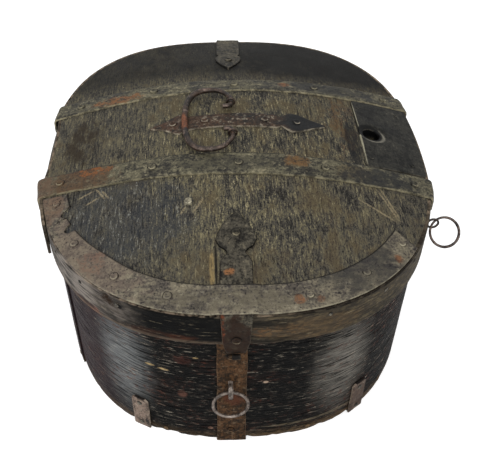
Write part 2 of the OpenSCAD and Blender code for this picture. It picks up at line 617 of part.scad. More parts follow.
// Strap over the rear edge, ending in the lid's hinge knuckle
hinge_head = [[0, 0.5], [54, 0.5], [64, 0.483], [69, 0.417], [74, 0.517], [80, 0.55], [88, 0.5], [98, 0.35],
    [106, 0.167], [112, 0.02]];
module hinge_strap() {
    ins = [12, 26, 40, 54, 59, 64, 69, 74, 80, 84, 88, 93, 98, 102, 106, 109, 112];
    ks = [-1, -0.5, 0, 0.5, 1];
    drop = hinge_z + knuckle_r + clear;
    function over(d, k, lift) =
        let (y = lid_b - d, x = rear_strap_x - d / 37 + k * strap_w * lookup(d, hinge_head))
        [x, y, crown_z(x, y) + lift];
    function down(k, out, z) = let (x = rear_strap_x + k * strap_w / 2)
        [x, rear_y(x, lid_a, lid_b) + out, z];
    function tail(lift) = [
        [for (k = ks) down(k, lift, drop)],
        [for (k = ks) down(k, lift, lid_edge_z - 5)],
        [for (k = ks) down(k, lift * 0.8, lid_edge_z + lift * 0.8)],
        [for (k = ks) down(k, -4, crown_z(rear_strap_x, lid_b - 4) + lift)]];
    function rows(lift) = concat(tail(lift), [for (d = ins) [for (k = ks) over(d, k, lift)]]);
    tab_y = rear_y(rear_strap_x, lid_a, lid_b) + seat;
    half_len = knuckle_len / 2;
    color("#4a3524") difference() {
        union() {
            slab(rows(seat), rows(seat + iron_t));
            knuckle(rear_strap_x - half_len, rear_strap_x + half_len);
            translate([rear_strap_x - half_len, tab_y, hinge_z])
                cube([knuckle_len, iron_t, drop + 2 - hinge_z]);
        }
        pin_bore();
    }
}
module hinge_strap_rivets() {
    color("#6b4a2f") {
        on_crown(rear_strap_x - 2, lid_b - spade_rivet_in, seat + iron_t)
            fastener(rivet_d, iron_t + board_t * 0.7);
        translate([rear_strap_x, rear_y(rear_strap_x, lid_a, lid_b) + seat + iron_t, lid_edge_z - 15])
            rotate([-90, 0, 0]) fastener(rivet_d * 0.9, iron_t + hoop_t * 0.9);
    }
}

module repair_nail() {
    color("#9a9482") on_crown(-lid_a / 4, -lid_b * 0.47, 0) fastener(rivet_d, board_t * 0.6);
}

// Eye on the right of the hoop and the ring that hangs in it
rim_eye_y = -86;
rim_eye_z = hoop_z + 3;
rim_eye_wire = 2.6;
rim_eye_d = 14.6;
rim_eye_x = side_x(rim_eye_y, lid_a, lid_b) + rim_eye_d / 2 + 1.5;
module rim_eye() {
    color("#4b4139") translate([rim_eye_x, rim_eye_y, rim_eye_z]) {
        rotate([90, 0, 0]) ring(rim_eye_d, rim_eye_wire);
        translate([-rim_eye_d / 2 + 0.8 - hoop_t - 2, 0, 0]) rotate([0, 90, 0])
            cylinder(d = rim_eye_wire + 0.8, h = hoop_t + 2, $fn = 24);
    }
}

side_ring_turn = 38;        // where on the ring the eye holds it
side_ring_lean = 46;        // how far the ring's plane leans back
module side_ring() {
    r = (side_ring_d - ring_wire_d) / 2;
    color("#3c332d") translate([rim_eye_x, rim_eye_y, rim_eye_z]) rotate([-side_ring_lean, 0, 0])
        translate([r * cos(side_ring_turn), 0, -r * sin(side_ring_turn)]) rotate([90, 0, 0])
            ring(side_ring_d, ring_wire_d);
}

base_board();
side_wall();
wall_pegs();
front_strap();
front_strap_rivets();
front_staple();
foot_clip_front_left();
foot_clip_front_right();
foot_clip_rear_left();
foot_clip_rear_right();
foot_clip_nails();
rear_strap();
rear_strap_rivets();
hinge_pin();
lid_board();
lid_hoop();
lid_hoop_nails();
front_edge_plate();
front_edge_rivets();
front_band();
front_band_rivets();
rear_band();
rear_band_rivets();
handle_plate();
handle_plate_rivets();
handle_eye_front();
handle_eye_rear();
coin_plate();
coin_plate_nails();
hasp_strap();
hasp_strap_rivets();
hinge_strap();
hinge_strap_rivets();
rim_eye();
repair_nail();
carrying_handle();
front_ring();
side_ring();
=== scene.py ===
"""Looks of an iron-bound bentwood offering box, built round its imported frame.

Meshes are worked out in millimetres in the frame's own axes, and stored in metres.
"""

import json
import logging
import math
from collections.abc import Sequence
from dataclasses import dataclass, field
from enum import Enum

import bpy
import numpy as np
from mathutils import Matrix, Vector


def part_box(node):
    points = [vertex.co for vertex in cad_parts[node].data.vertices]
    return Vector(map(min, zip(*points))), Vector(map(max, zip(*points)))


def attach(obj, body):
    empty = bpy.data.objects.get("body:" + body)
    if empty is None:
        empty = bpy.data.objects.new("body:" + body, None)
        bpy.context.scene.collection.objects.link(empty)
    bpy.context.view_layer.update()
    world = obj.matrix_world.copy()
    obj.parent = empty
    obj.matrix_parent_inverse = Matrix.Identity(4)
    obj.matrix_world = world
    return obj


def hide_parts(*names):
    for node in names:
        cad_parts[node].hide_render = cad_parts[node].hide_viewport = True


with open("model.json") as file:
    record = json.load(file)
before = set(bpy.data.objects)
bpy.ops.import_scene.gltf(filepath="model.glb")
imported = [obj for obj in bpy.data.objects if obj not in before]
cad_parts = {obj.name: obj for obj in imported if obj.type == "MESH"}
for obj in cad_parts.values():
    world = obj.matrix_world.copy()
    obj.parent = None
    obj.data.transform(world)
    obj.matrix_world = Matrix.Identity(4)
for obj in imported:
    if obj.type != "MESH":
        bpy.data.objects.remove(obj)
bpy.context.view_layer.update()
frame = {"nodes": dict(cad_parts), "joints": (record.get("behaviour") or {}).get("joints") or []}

log = logging.getLogger("offering_box")

MM = 1000.0
SEAT = 0.1
BACK = np.array([0, 1.0, 0])
FRONT = -BACK

Array = np.ndarray
Colour = tuple[float, float, float, float]


class Body(Enum):
    """The rigid bodies that pieces ride on."""

    CASE = "case"
    LID = "lid"
    HANDLE = "handle"
    FRONT_RING = "front_ring"
    SIDE_RING = "side_ring"


class Run(Enum):
    """Direction in which a wood's grain or an iron's hammer marks run."""

    ACROSS = (1.0, 0.0, 0.0)
    DEEP = (0.0, 1.0, 0.0)
    UP = (0.0, 0.0, 1.0)
    ROUND = (1.0, 1.0, 0.0)


def srgb(text: str) -> Colour:
    """Turn a hex colour into Blender's linear values.

    Args:
        text: six hex digits after a hash.

    Returns:
        The linear colour with an alpha of 1.
    """
    values = [int(text[i : i + 2], 16) / 255 for i in (1, 3, 5)]
    linear = [v / 12.92 if v <= 0.04045 else ((v + 0.055) / 1.055) ** 2.4 for v in values]
    return (linear[0], linear[1], linear[2], 1.0)


def box_mm(node: str) -> tuple[Array, Array]:
    """Give a node's lowest and highest corners in millimetres.

    Args:
        node: the frame node's name.

    Returns:
        The two corners.
    """
    low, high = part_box(node)
    return np.array(low) * MM, np.array(high) * MM


def joint_place(name: str) -> Array:
    """Give a joint's place in millimetres.

    Args:
        name: the joint's name.

    Returns:
        Its place.
    """
    joint = next(j for j in frame["joints"] if j["name"] == name)
    return np.array(joint["pos_m"]) * MM


def whole_turn(count: int) -> Array:
    """Give evenly spread angles round a circle, in radians."""
    return np.linspace(0, 2 * math.pi, count + 1)[:-1]


def flat_ring(count: int, radius: float) -> Array:
    """Give evenly spread points on a circle in the xz plane, round 0."""
    turn = whole_turn(count)
    return np.stack([np.cos(turn) * radius, turn * 0, np.sin(turn) * radius], -1)


def ring_faces(rows: int, sides: int, closed: bool) -> list[list[int]]:
    """Join rings of vertices into a tube.

    Args:
        rows: how many rings.
        sides: how many vertices a ring has.
        closed: true if the last ring joins the first, and the tube needs no caps.

    Returns:
        The faces.
    """
    faces = []
    for i in range(rows if closed else rows - 1):
        a, b = i * sides, ((i + 1) % rows) * sides
        for k in range(sides):
            n = (k + 1) % sides
            faces.append([a + k, a + n, b + n, b + k])
    if not closed:
        faces.append(list(range(sides))[::-1])
        faces.append([(rows - 1) * sides + k for k in range(sides)])
    return faces


def along_x(value: Array) -> Array:
    """Give positions at these x values, with y and z at 0."""
    return np.stack([value, value * 0, value * 0], -1)


def bent(start: Array, corner: Array, end: Array, share: float) -> Array:
    """Give a row of points on the bend from start to end round a corner.

    Args:
        start: the row where the bend starts.
        corner: the row that it is drawn towards.
        end: the row where it ends.
        share: how far along the bend, from 0 to 1.

    Returns:
        The row.
    """
    return start * (1 - share) ** 2 + corner * 2 * share * (1 - share) + end * share**2


def dense_ends(count: int, power: float = 1.7) -> Array:
    """Spread values from -1 to 1 that lie closer together near both ends.

    Args:
        count: how many values.
        power: how strongly they crowd at the ends.

    Returns:
        The values.
    """
    even = np.linspace(-1, 1, count)
    return np.sign(even) * (1 - (1 - np.abs(even)) ** power)


def smooth(value: Array, low: float, high: float) -> Array:
    """Rise smoothly from 0 at low to 1 at high.

    Args:
        value: where to read the step.
        low: start of the step.
        high: end of the step.

    Returns:
        The step's value.
    """
    share = np.clip((np.asarray(value, float) - low) / (high - low), 0, 1)
    return share * share * (3 - 2 * share)


def curve_through(points: Sequence[Sequence[float]], per_span: int) -> Array:
    """Run a smooth curve through points.

    Args:
        points: the points, in order.
        per_span: how many steps between two points.

    Returns:
        The curve's points.
    """
    p = np.array(points, float)
    padded = np.vstack([2 * p[0] - p[1], p, 2 * p[-1] - p[-2]])
    out = []
    for i in range(len(p) - 1):
        a, b, c, d = padded[i : i + 4]
        for step in range(per_span):
            t = step / per_span
            bend, twist = 2 * a - 5 * b + 4 * c - d, 3 * b - a - 3 * c + d
            out.append(0.5 * (2 * b + (c - a) * t + bend * t**2 + twist * t**3))
    out.append(p[-1])
    return np.array(out)


@dataclass(frozen=True)
class Ripple:
    """Gentle unevenness, a sum of waves in seeded random directions.

    Attributes:
        seed: seed of the directions.
        length: mean wavelength in millimetres.
        waves: how many waves.
        stretch: how much longer the waves are along x, y and z.
    """

    seed: int
    length: float
    waves: int = 14
    stretch: tuple[float, float, float] = (1.0, 1.0, 1.0)

    def at(self, points: Array) -> Array:
        """Read the unevenness, about -1 to 1.

        Args:
            points: positions in millimetres, the last axis being x, y and z.

        Returns:
            One value a point.
        """
        rng = np.random.default_rng(self.seed)
        total = np.zeros(points.shape[:-1])
        for _ in range(self.waves):
            direction = rng.normal(size=3)
            direction /= np.linalg.norm(direction)
            wave = direction / (self.length * rng.uniform(0.6, 1.7)) * 2 * math.pi
            total += np.sin(points @ (wave / np.array(self.stretch)) + rng.uniform(0, 2 * math.pi))
        return total / math.sqrt(self.waves) * 0.7


# ---------------------------------------------------------------- shapes


@dataclass(frozen=True)
class Oval:
    """The plan oval and the crown above it, in millimetres.

    Attributes:
        half_w: half width at the edge.
        half_d: half depth at the edge.
        edge_z: height of the edge.
        rise: rise of the crown.
        front_power: squareness of the front half.
        rear_power: squareness of the rear half.
        crown_power: how the crown falls away.
    """

    half_w: float
    half_d: float
    edge_z: float = 0.0
    rise: float = 0.0
    front_power: float = 2.44
    rear_power: float = 2.6
    crown_power: float = 1.6

    def power(self, y: Array) -> Array:
        """Give the squareness in front of or behind the centre."""
        return np.where(np.asarray(y) < 0, self.front_power, self.rear_power)

    def rim(self, degrees: Array, out: Array | float = 0.0) -> Array:
        """Give points on the oval.

        Args:
            degrees: angles of the points.
            out: how far outside the edge they lie.

        Returns:
            Their x and y.
        """
        turn = np.radians(np.asarray(degrees, float))
        power = 2 / self.power(np.sin(turn))
        x = (self.half_w + out) * np.sign(np.cos(turn)) * np.abs(np.cos(turn)) ** power
        y = (self.half_d + out) * np.sign(np.sin(turn)) * np.abs(np.sin(turn)) ** power
        return np.stack([x, y], -1)

    def rim_at(self, degrees: Array, height: Array, out: Array | float = 0.0) -> Array:
        """Give points on the oval at a height.

        Args:
            degrees: angles of the points.
            height: their heights.
            out: how far outside the edge they lie.

        Returns:
            The points.
        """
        return np.concatenate([self.rim(degrees, out), height[..., None]], -1)

    def side_x(self, y: Array, out: float = 0.0) -> Array:
        """Give the half width of the oval at y."""
        power = self.power(y)
        share = np.maximum(0, 1 - (np.abs(y) / (self.half_d + out)) ** power)
        return (self.half_w + out) * share ** (1 / power)

    def end_y(self, x: Array, side: int, out: float = 0.0) -> Array:
        """Give the oval's y at x.

        Args:
            x: where to read it.
            side: -1 for the front, 1 for the rear.
            out: how far outside the edge.

        Returns:
            The y values.
        """
        power = self.front_power if side < 0 else self.rear_power
        share = np.maximum(0, 1 - (np.abs(x) / (self.half_w + out)) ** power)
        return side * (self.half_d + out) * share ** (1 / power)

    def share(self, x: Array, y: Array) -> Array:
        """Give how far out a point lies, 1 at the edge."""
        power = self.power(y)
        return ((np.abs(x) / self.half_w) ** power + (np.abs(y) / self.half_d) ** power) ** (1 / power)

    def crown(self, x: Array, y: Array) -> Array:
        """Give the crown's height with the board's slow warp.

        Args:
            x: where to read it.
            y: where to read it.

        Returns:
            The height.
        """
        share = np.minimum(1, self.share(x, y))
        flat = np.stack(np.broadcast_arrays(np.asarray(x, float), np.asarray(y, float), 0.0), -1)
        warp = Ripple(3, 120).at(flat) * 0.5 * smooth(share, 0.3, 0.8) * (1 - smooth(share, 0.9, 1.0))
        return self.edge_z + self.rise * (1 - share**self.crown_power) + warp

    def on_crown(self, x: Array, y: Array) -> Array:
        """Give points on the crown."""
        x, y = np.broadcast_arrays(np.asarray(x, float), np.asarray(y, float))
        return np.stack([x, y, self.crown(x, y)], -1)

    def crown_normal(self, x: float, y: float) -> Array:
        """Give the crown's upward normal at one point.

        Args:
            x: where to read it.
            y: where to read it.

        Returns:
            The unit normal.
        """
        slope_x = float(self.crown(x + 1, y) - self.crown(x - 1, y)) / 2
        slope_y = float(self.crown(x, y + 1) - self.crown(x, y - 1)) / 2
        normal = np.array([-slope_x, -slope_y, 1.0])
        return normal / np.linalg.norm(normal)

    def rim_normal(self, degrees: float) -> Array:
        """Give the oval's outward normal.

        Args:
            degrees: the angle where to read it.

        Returns:
            The unit normal.
        """
        ahead, behind = self.rim(degrees + 0.2), self.rim(degrees - 0.2)
        along = ahead - behind
        normal = np.array([along[1], -along[0], 0.0])
        return normal / np.linalg.norm(normal)


def grid_normals(grid: Array) -> Array:
    """Give the unit normals of a grid of points.

    Args:
        grid: rows by columns by 3.

    Returns:
        One normal a point, on the side of rows cross columns.
    """
    normal = np.cross(np.gradient(grid, axis=0), np.gradient(grid, axis=1))
    return normal / np.maximum(np.linalg.norm(normal, axis=-1, keepdims=True), 1e-9)


def border_distance(grid: Array, closed: bool = False) -> tuple[Array, Array]:
    """Give each grid point's distance from the grid's border, and where that border faces.

    Args:
        grid: rows by columns by 3.
        closed: true if the rows run round and have no border.

    Returns:
        The distances in millimetres, and 1 for a border that faces the front or the floor to -1 for
        one that faces the rear.
    """
    found = np.full(grid.shape[:2], 1e9)
    facing = np.zeros(grid.shape[:2])
    # Side borders turn to painted shade on plates that lie flat and to a painted highlight on upright ones.
    sideways = 1.1 * np.abs(grid_normals(grid)[..., 1]) ** 4 - 0.5
    for axis in ([1] if closed else [0, 1]):
        steps = np.linalg.norm(np.diff(grid, axis=axis), axis=-1)
        start = np.zeros_like(np.take(steps, [0], axis))
        run = np.concatenate([start, np.cumsum(steps, axis)], axis)
        total = np.take(run, [-1], axis)
        ahead = np.gradient(grid, axis=axis)
        ahead /= np.maximum(np.linalg.norm(ahead, axis=-1, keepdims=True), 1e-9)
        outward = np.where((run < total - run)[..., None], -ahead, ahead)
        value = -outward[..., 1] - outward[..., 2] + sideways * np.abs(outward[..., 0])
        here = np.minimum(run, total - run)
        facing = np.where(here < found, value, facing)
        found = np.minimum(found, here)
    return found, np.clip(facing * 1.5, -1, 1)


@dataclass
class Piece:
    """One visible piece: its vertices, faces and each vertex's worn paleness and painted light, gathered and
    then made into an object.

    Attributes:
        name: the object's name.
        body: what it rides on.
        replaces: frame nodes that it stands for.
        points: arrays of its vertices.
        faces: its faces.
        wear_and_light: arrays of a value for each vertex, from -1 for painted shade in corners and on edges
            turned from the light to 1 for worn edges and painted highlights.
        count: how many vertices it has so far.
    """

    name: str
    body: Body
    replaces: tuple[str, ...] = ()
    points: list[Array] = field(default_factory=list)
    faces: list[list[int]] = field(default_factory=list)
    wear_and_light: list[Array] = field(default_factory=list)
    count: int = 0

    def add(self, points: Array, faces: list[list[int]], wear_and_light: Array | float = 0.0) -> None:
        """Add vertices and their faces.

        Args:
            points: vertices in millimetres.
            faces: vertex numbers within these points.
            wear_and_light: each vertex's worn paleness and painted light and shade, from -1 to 1.
        """
        flat = points.reshape(-1, 3)
        self.points.append(flat)
        self.faces.extend([[i + self.count for i in f] for f in faces])
        self.wear_and_light.append(np.broadcast_to(np.asarray(wear_and_light, float).ravel(), (len(flat),)).copy())
        self.count += len(flat)

    def solid(self, top: Array, bottom: Array, wear_and_light: Array, closed: bool = False) -> None:
        """Add a closed solid between two grids.

        Args:
            top: the outer grid, rows by columns by 3.
            bottom: the inner grid.
            wear_and_light: worn paleness and painted light and shade of the outer grid.
            closed: true if the last row joins the first.
        """
        rows, cols = top.shape[:2]
        half = rows * cols
        last = rows if closed else rows - 1

        def at(i: int, j: int, low: bool = False) -> int:
            """Give a vertex number."""
            return (i % rows) * cols + j + (half if low else 0)

        faces: list[list[int]] = []
        side, end = cols - 1, rows - 1
        for i in range(last):
            for j in range(side):
                faces.append([at(i, j), at(i + 1, j), at(i + 1, j + 1), at(i, j + 1)])
                faces.append([at(i, j, True), at(i, j + 1, True), at(i + 1, j + 1, True), at(i + 1, j, True)])
            faces.append([at(i, 0), at(i, 0, True), at(i + 1, 0, True), at(i + 1, 0)])
            faces.append([at(i, side), at(i + 1, side), at(i + 1, side, True), at(i, side, True)])
        if not closed:
            for j in range(side):
                faces.append([at(0, j), at(0, j + 1), at(0, j + 1, True), at(0, j, True)])
                faces.append([at(end, j), at(end, j, True), at(end, j + 1, True), at(end, j + 1)])
        both = np.concatenate([top.reshape(-1, 3), bottom.reshape(-1, 3)])
        self.add(both, faces, np.concatenate([wear_and_light.ravel(), wear_and_light.ravel()]))

    def plate(self, grid: Array, thick: float, seed: int, hammer: float = 0.22, lift: Array | float = 0.0,
              closed: bool = False) -> None:
        """Add a forged plate on a grid of surface points, with worn round edges that carry painted light and
        shade.

        Args:
            grid: points of the surface that it lies on.
            thick: its thickness.
            seed: seed of its hammer marks.
            hammer: depth of its hammer marks.
            lift: how far it stands off the surface.
            closed: true if the rows run round.
        """
        normal = grid_normals(grid)
        inset, facing = border_distance(grid, closed)
        edge = thick * 0.62
        share = np.clip(inset / edge, 0, 1)
        rounded = 0.35 + 0.65 * np.sqrt(1 - (1 - share) ** 2)
        marks = Ripple(seed, 11).at(grid) * hammer + Ripple(seed + 1, 30).at(grid) * hammer * 0.8
        height = SEAT + thick * rounded + np.maximum(marks, -thick * 0.3) * share
        lifted = np.asarray(lift)[..., None] if np.ndim(lift) else lift
        base = grid + normal * lifted
        # Painted light: a painted highlight near borders that face the front or the floor, painted shade near
        # those that face the rear.
        self.solid(base + normal * height[..., None], base + normal * SEAT * 0.3,
                   np.exp(-inset / 1.9) * facing, closed)

    def rod(self, path: Array, radius: Array, across: Sequence[float], sides: int = 14, flat: float = 1.0,
            seed: int = 1, rough: float = 0.05, closed: bool = False, shade: float = 0.15) -> None:
        """Add a forged rod along a path.

        Args:
            path: its centre points.
            radius: its radius at each point.
            across: the direction square to the path's plane.
            sides: how many sides.
            flat: its thickness across the plane, as a share of its width.
            seed: seed of its unevenness.
            rough: its unevenness as a share of the radius.
            closed: true for a ring.
            shade: mean of the stored painted light and shade, below 0 for a darker rod.
        """
        if closed:
            ahead = np.roll(path, -1, 0) - np.roll(path, 1, 0)
        else:
            ahead = np.gradient(path, axis=0)
        ahead /= np.linalg.norm(ahead, axis=1, keepdims=True)
        up = np.broadcast_to(np.asarray(across, float), path.shape)
        up = up - (up * ahead).sum(1, keepdims=True) * ahead
        up /= np.linalg.norm(up, axis=1, keepdims=True)
        out = np.cross(ahead, up)
        turn = np.arange(sides) * 2 * math.pi / sides
        spread = out[:, None] * np.cos(turn)[None, :, None] + up[:, None] * np.sin(turn)[None, :, None] * flat
        grid = path[:, None] + spread * np.asarray(radius)[:, None, None]
        grid += spread * (Ripple(seed, 9).at(grid) * rough * np.asarray(radius)[:, None])[..., None]
        faced = spread / np.linalg.norm(spread, axis=-1, keepdims=True)
        # Painted light: sides that face up and to the front are lighter, sides that face down and to the rear
        # darker, round the mean shade.
        self.add(grid, ring_faces(len(path), sides, closed),
                 shade + 0.65 * (faced[..., 2] * 0.75 - faced[..., 1] * 0.66))

    def head(self, centre: Array, normal: Array, size: float, seed: int, tall: float = 0.17) -> None:
        """Add a hammered rivet or nail head with a short shank.

        Args:
            centre: middle of its seat.
            normal: direction that it faces.
            size: its diameter.
            seed: seed of its shape.
            tall: its height as a share of its diameter.
        """
        rng = np.random.default_rng(seed)
        sides, outline = 24, 1 + rng.normal(0, 0.05, 24)
        outline = (outline + np.roll(outline, 1) + np.roll(outline, -1)) / 3
        side = np.cross(normal, [0.3, 0.9, 0.2])
        side /= np.linalg.norm(side)
        other = np.cross(normal, side)
        tilt = rng.uniform(-0.16, 0.16, 2)
        sunk = rng.uniform(0.15, 0.4)
        rings = [(0.5, -0.09), (1.16, -0.02), (1.16, 0.13), (1.0, 0.2), (0.98, 0.45), (0.92, 0.75),
                 (0.8, 0.96), (0.64, 1.0), (0.46, 0.94 - sunk * 0.6), (0.28, 0.9 - sunk),
                 (0.1, 0.92 - sunk * 0.8)]
        turn = np.arange(sides) * 2 * math.pi / sides
        points = []
        for share, high in rings:
            reach = size / 2 * share * outline
            lean = 1 + (tilt[0] * np.cos(turn) + tilt[1] * np.sin(turn)) * share
            lift = size * tall * high * lean if high > 0 else np.full(sides, size * high)
            lift = lift + rng.normal(0, 0.008, sides) * size * (high > 0.5)
            points.append(centre + (side * (np.cos(turn) * reach)[:, None]
                                    + other * (np.sin(turn) * reach)[:, None])
                          + normal * lift[:, None])
        # Painted light: the seat and the sunk middle get painted shade, strongest on the upper, rear side;
        # the dome gets a painted highlight, strongest on its lower, front side.
        around = side * np.cos(turn)[:, None] + other * np.sin(turn)[:, None]
        upward = np.clip(0.75 + 0.45 * (around[:, 1] + around[:, 2]), 0.4, 1)
        wear_and_light = np.array([0, -1, -1, -1, -0.5, 0.6, 1.0, 0.8, 0.2, -0.3, -0.3])
        dark = np.minimum(wear_and_light, 0)[:, None] * upward
        self.add(np.array(points), ring_faces(len(rings), sides, False),
                 dark + np.maximum(wear_and_light, 0)[:, None] * (1.45 - upward))

    def make(self, material: bpy.types.Material, sharp: float = 38.0) -> bpy.types.Object:
        """Make the object, dress it and let it ride.

        Args:
            material: its finish.
            sharp: angle in degrees above which an edge stays sharp.

        Returns:
            The new object.
        """
        mesh = bpy.data.meshes.new(self.name)
        points = np.concatenate(self.points) / MM
        mesh.from_pydata(points.tolist(), [], self.faces)
        wear_and_light = mesh.attributes.new("wear_and_light", "FLOAT", "POINT")
        wear_and_light.data.foreach_set("value", np.concatenate(self.wear_and_light).astype(np.float32))
        mesh.validate()
        mesh.shade_smooth()
        mesh.set_sharp_from_angle(angle=math.radians(sharp))
        mesh.materials.append(material)
        made = bpy.data.objects.new(self.name, mesh)
        bpy.context.scene.collection.objects.link(made)
        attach(made, self.body.value)
        if self.replaces:
            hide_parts(*self.replaces)
        log.info("piece %s: %d vertices on %s", self.name, len(mesh.vertices), self.body.value)
        return made


# ---------------------------------------------------------------- finishes


class Signal:
    """A shader socket that takes part in Python arithmetic."""

    def __init__(self, graph: "Graph", socket: bpy.types.NodeSocket | None) -> None:
        """Wrap a socket of a graph."""
        self.graph = graph
        self.socket = socket

    def _math(self, kind: str, first: "Signal | float", second: "Signal | float") -> "Signal":
        """Add a Math node."""
        return self.graph.node("ShaderNodeMath", {"operation": kind}, {0: first, 1: second})

    def __add__(self, other: "Signal | float") -> "Signal":
        """Add."""
        return self._math("ADD", self, other)

    def __radd__(self, other: float) -> "Signal":
        """Add to a number."""
        return self._math("ADD", other, self)

    def __sub__(self, other: "Signal | float") -> "Signal":
        """Subtract."""
        return self._math("SUBTRACT", self, other)

    def __rsub__(self, other: float) -> "Signal":
        """Subtract from a number."""
        return self._math("SUBTRACT", other, self)

    def __mul__(self, other: "Signal | float") -> "Signal":
        """Multiply."""
        return self._math("MULTIPLY", self, other)

    def __rmul__(self, other: float) -> "Signal":
        """Multiply a number."""
        return self._math("MULTIPLY", other, self)

    def step(self, low: float, high: float, start: float = 0.0, end: float = 1.0) -> "Signal":
        """Rise smoothly from start to end while this value goes from low to high.

        Args:
            low: where the step starts.
            high: where it ends.
            start: value before it.
            end: value after it.

        Returns:
            The stepped value.
        """
        values = {"Value": self, "From Min": low, "From Max": high, "To Min": start, "To Max": end}
        return self.graph.node("ShaderNodeMapRange", {"interpolation_type": "SMOOTHSTEP"}, values)


class Graph:
    """The node graph of one finish, with positions in millimetres."""

    def __init__(self, name: str) -> None:
        """Start an empty material.

        Args:
            name: its name.
        """
        self.material = bpy.data.materials.new(name)
        self.material.use_nodes = True
        self.nodes = self.material.node_tree.nodes
        self.links = self.material.node_tree.links
        self.nodes.clear()
        metres = self.node("ShaderNodeTexCoord", {}, {}, "Object")
        self.place = self.vector("MULTIPLY", metres, (MM, MM, MM))

    def node(self, kind: str, settings: dict[str, object], values: dict[str | int, object],
             output: str | int = 0) -> Signal:
        """Add any node.

        Args:
            kind: the node's type.
            settings: its own settings, which are set first.
            values: numbers, colours or signals for its sockets.
            output: which output to use.

        Returns:
            That output.
        """
        made = self.nodes.new(kind)
        for key, value in settings.items():
            setattr(made, key, value)
        for key, value in values.items():
            if isinstance(value, Signal):
                self.links.new(value.socket, made.inputs[key])
            else:
                made.inputs[key].default_value = value
        return Signal(self, made.outputs[output] if len(made.outputs) else None)

    def vector(self, kind: str, first: object, second: object) -> Signal:
        """Add a Vector Math node."""
        return self.node("ShaderNodeVectorMath", {"operation": kind}, {0: first, 1: second})

    def noise(self, scale: tuple[float, float, float], seed: float, detail: float = 3.0, rough: float = 0.55,
              warp: float = 0.0) -> Signal:
        """Add a noise that repeats scale times a millimetre along each axis.

        Args:
            scale: repeats per millimetre along x, y and z.
            seed: shift that makes this noise its own.
            detail: how many octaves.
            rough: strength of the finer octaves.
            warp: distortion.

        Returns:
            The noise, about 0.5 in the mean.
        """
        moved = self.vector("ADD", self.vector("MULTIPLY", self.place, scale),
                            (seed * 7.3, seed * 3.1, seed * 5.7))
        values = {"Vector": moved, "Scale": 1.0, "Detail": detail, "Roughness": rough, "Distortion": warp}
        return self.node("ShaderNodeTexNoise", {}, values, "Fac")

    def axis(self, which: int) -> Signal:
        """Give the x, y or z position in millimetres."""
        return self.node("ShaderNodeSeparateXYZ", {}, {0: self.place}, which)

    def near(self, centre: tuple[float, float, float], reach: tuple[float, float, float],
             ragged: float = 0.35, seed: float = 1.0, soft: float = 0.5) -> Signal:
        """Mark a ragged patch round a place.

        Args:
            centre: its middle.
            reach: its half sizes along x, y and z.
            ragged: how uneven its edge is.
            seed: shift of its edge's noise.
            soft: how slowly it fades, as a share of its size.

        Returns:
            1 within the patch and 0 outside.
        """
        away = self.vector("SUBTRACT", self.place, centre)
        scaled = self.vector("DIVIDE", away, reach)
        length = self.node("ShaderNodeVectorMath", {"operation": "LENGTH"}, {0: scaled}, "Value")
        uneven = self.noise((0.09, 0.09, 0.09), seed, 4.0, 0.65)
        return (length + (uneven - 0.5) * (ragged * 4)).step(1.15 - soft, 1.15, 1.0, 0.0)

    def scratch(self, start: tuple[float, float], end: tuple[float, float], width: float) -> Signal:
        """Mark a thin straight scratch, as seen from above.

        Args:
            start: x and y where it starts.
            end: x and y where it ends.
            width: its half width.

        Returns:
            1 on the scratch and 0 beside it.
        """
        ahead = Vector(end) - Vector(start)
        length = ahead.length
        ahead.normalize()
        away = self.vector("SUBTRACT", self.place, (*start, 0.0))
        kind = {"operation": "DOT_PRODUCT"}
        along = self.node("ShaderNodeVectorMath", kind, {0: away, 1: (ahead.x, ahead.y, 0.0)}, "Value")
        aside = self.node("ShaderNodeVectorMath", kind, {0: away, 1: (-ahead.y, ahead.x, 0.0)}, "Value")
        thin = (aside * aside).step(width**2, 0.0)
        return thin * along.step(0.0, length * 0.25) * along.step(length, length * 0.7)

    def mix(self, first: object, second: object, share: Signal | float) -> Signal:
        """Blend two colours.

        Args:
            first: the colour at a share of 0.
            second: the colour at a share of 1.
            share: how much of the second.

        Returns:
            The blended colour.
        """
        return self.node("ShaderNodeMix", {"data_type": "RGBA"}, {0: share, 6: first, 7: second}, 2)

    def worn(self) -> Signal:
        """Give the value stored on the mesh: -1 for painted shade in dark corners and on edges turned from
        the light, 1 for worn edges and painted highlights.
        """
        return self.node("ShaderNodeAttribute", {"attribute_name": "wear_and_light"}, {}, "Fac")

    def done(self, colour: Signal, rough: Signal | float, height: Signal, depth: float,
             metal: Signal | float = 0.0, shine: float = 0.4) -> bpy.types.Material:
        """Close the graph with a surface shader.

        Args:
            colour: base colour.
            rough: roughness.
            height: height of the relief, about 0 to 1.
            depth: depth of that relief in millimetres.
            metal: metallic share.
            shine: specular level.

        Returns:
            The material.
        """
        bump = self.node("ShaderNodeBump", {}, {"Strength": 1.0, "Distance": depth / MM, "Height": height})
        values = {"Base Color": colour, "Roughness": rough, "Metallic": metal, "Normal": bump,
                  "Specular IOR Level": shine}
        shader = self.node("ShaderNodeBsdfPrincipled", {}, values)
        self.node("ShaderNodeOutputMaterial", {}, {"Surface": shader})
        return self.material


class Coat:
    """A colour that is painted over, patch by patch."""

    def __init__(self, graph: Graph, first: str) -> None:
        """Start with one hex colour."""
        self.graph = graph
        self.colour: Colour | Signal = srgb(first)

    def over(self, text: str, share: Signal | float) -> None:
        """Paint a hex colour over a share of what is there."""
        self.colour = self.graph.mix(self.colour, srgb(text), share)


@dataclass(frozen=True)
class Patch:
    """A coloured patch on a finish.

    Attributes:
        centre: its middle.
        reach: its half sizes along x, y and z.
        colour: its colour.
        strength: how strongly it covers.
        whole: how unbroken it is, from 0 to 1.
        ragged: how uneven its edge is.
        soft: how slowly it fades, as a share of its size.
    """

    centre: tuple[float, float, float]
    reach: tuple[float, float, float]
    colour: str
    strength: float = 1.0
    whole: float = 0.1
    ragged: float = 0.55
    soft: float = 0.5


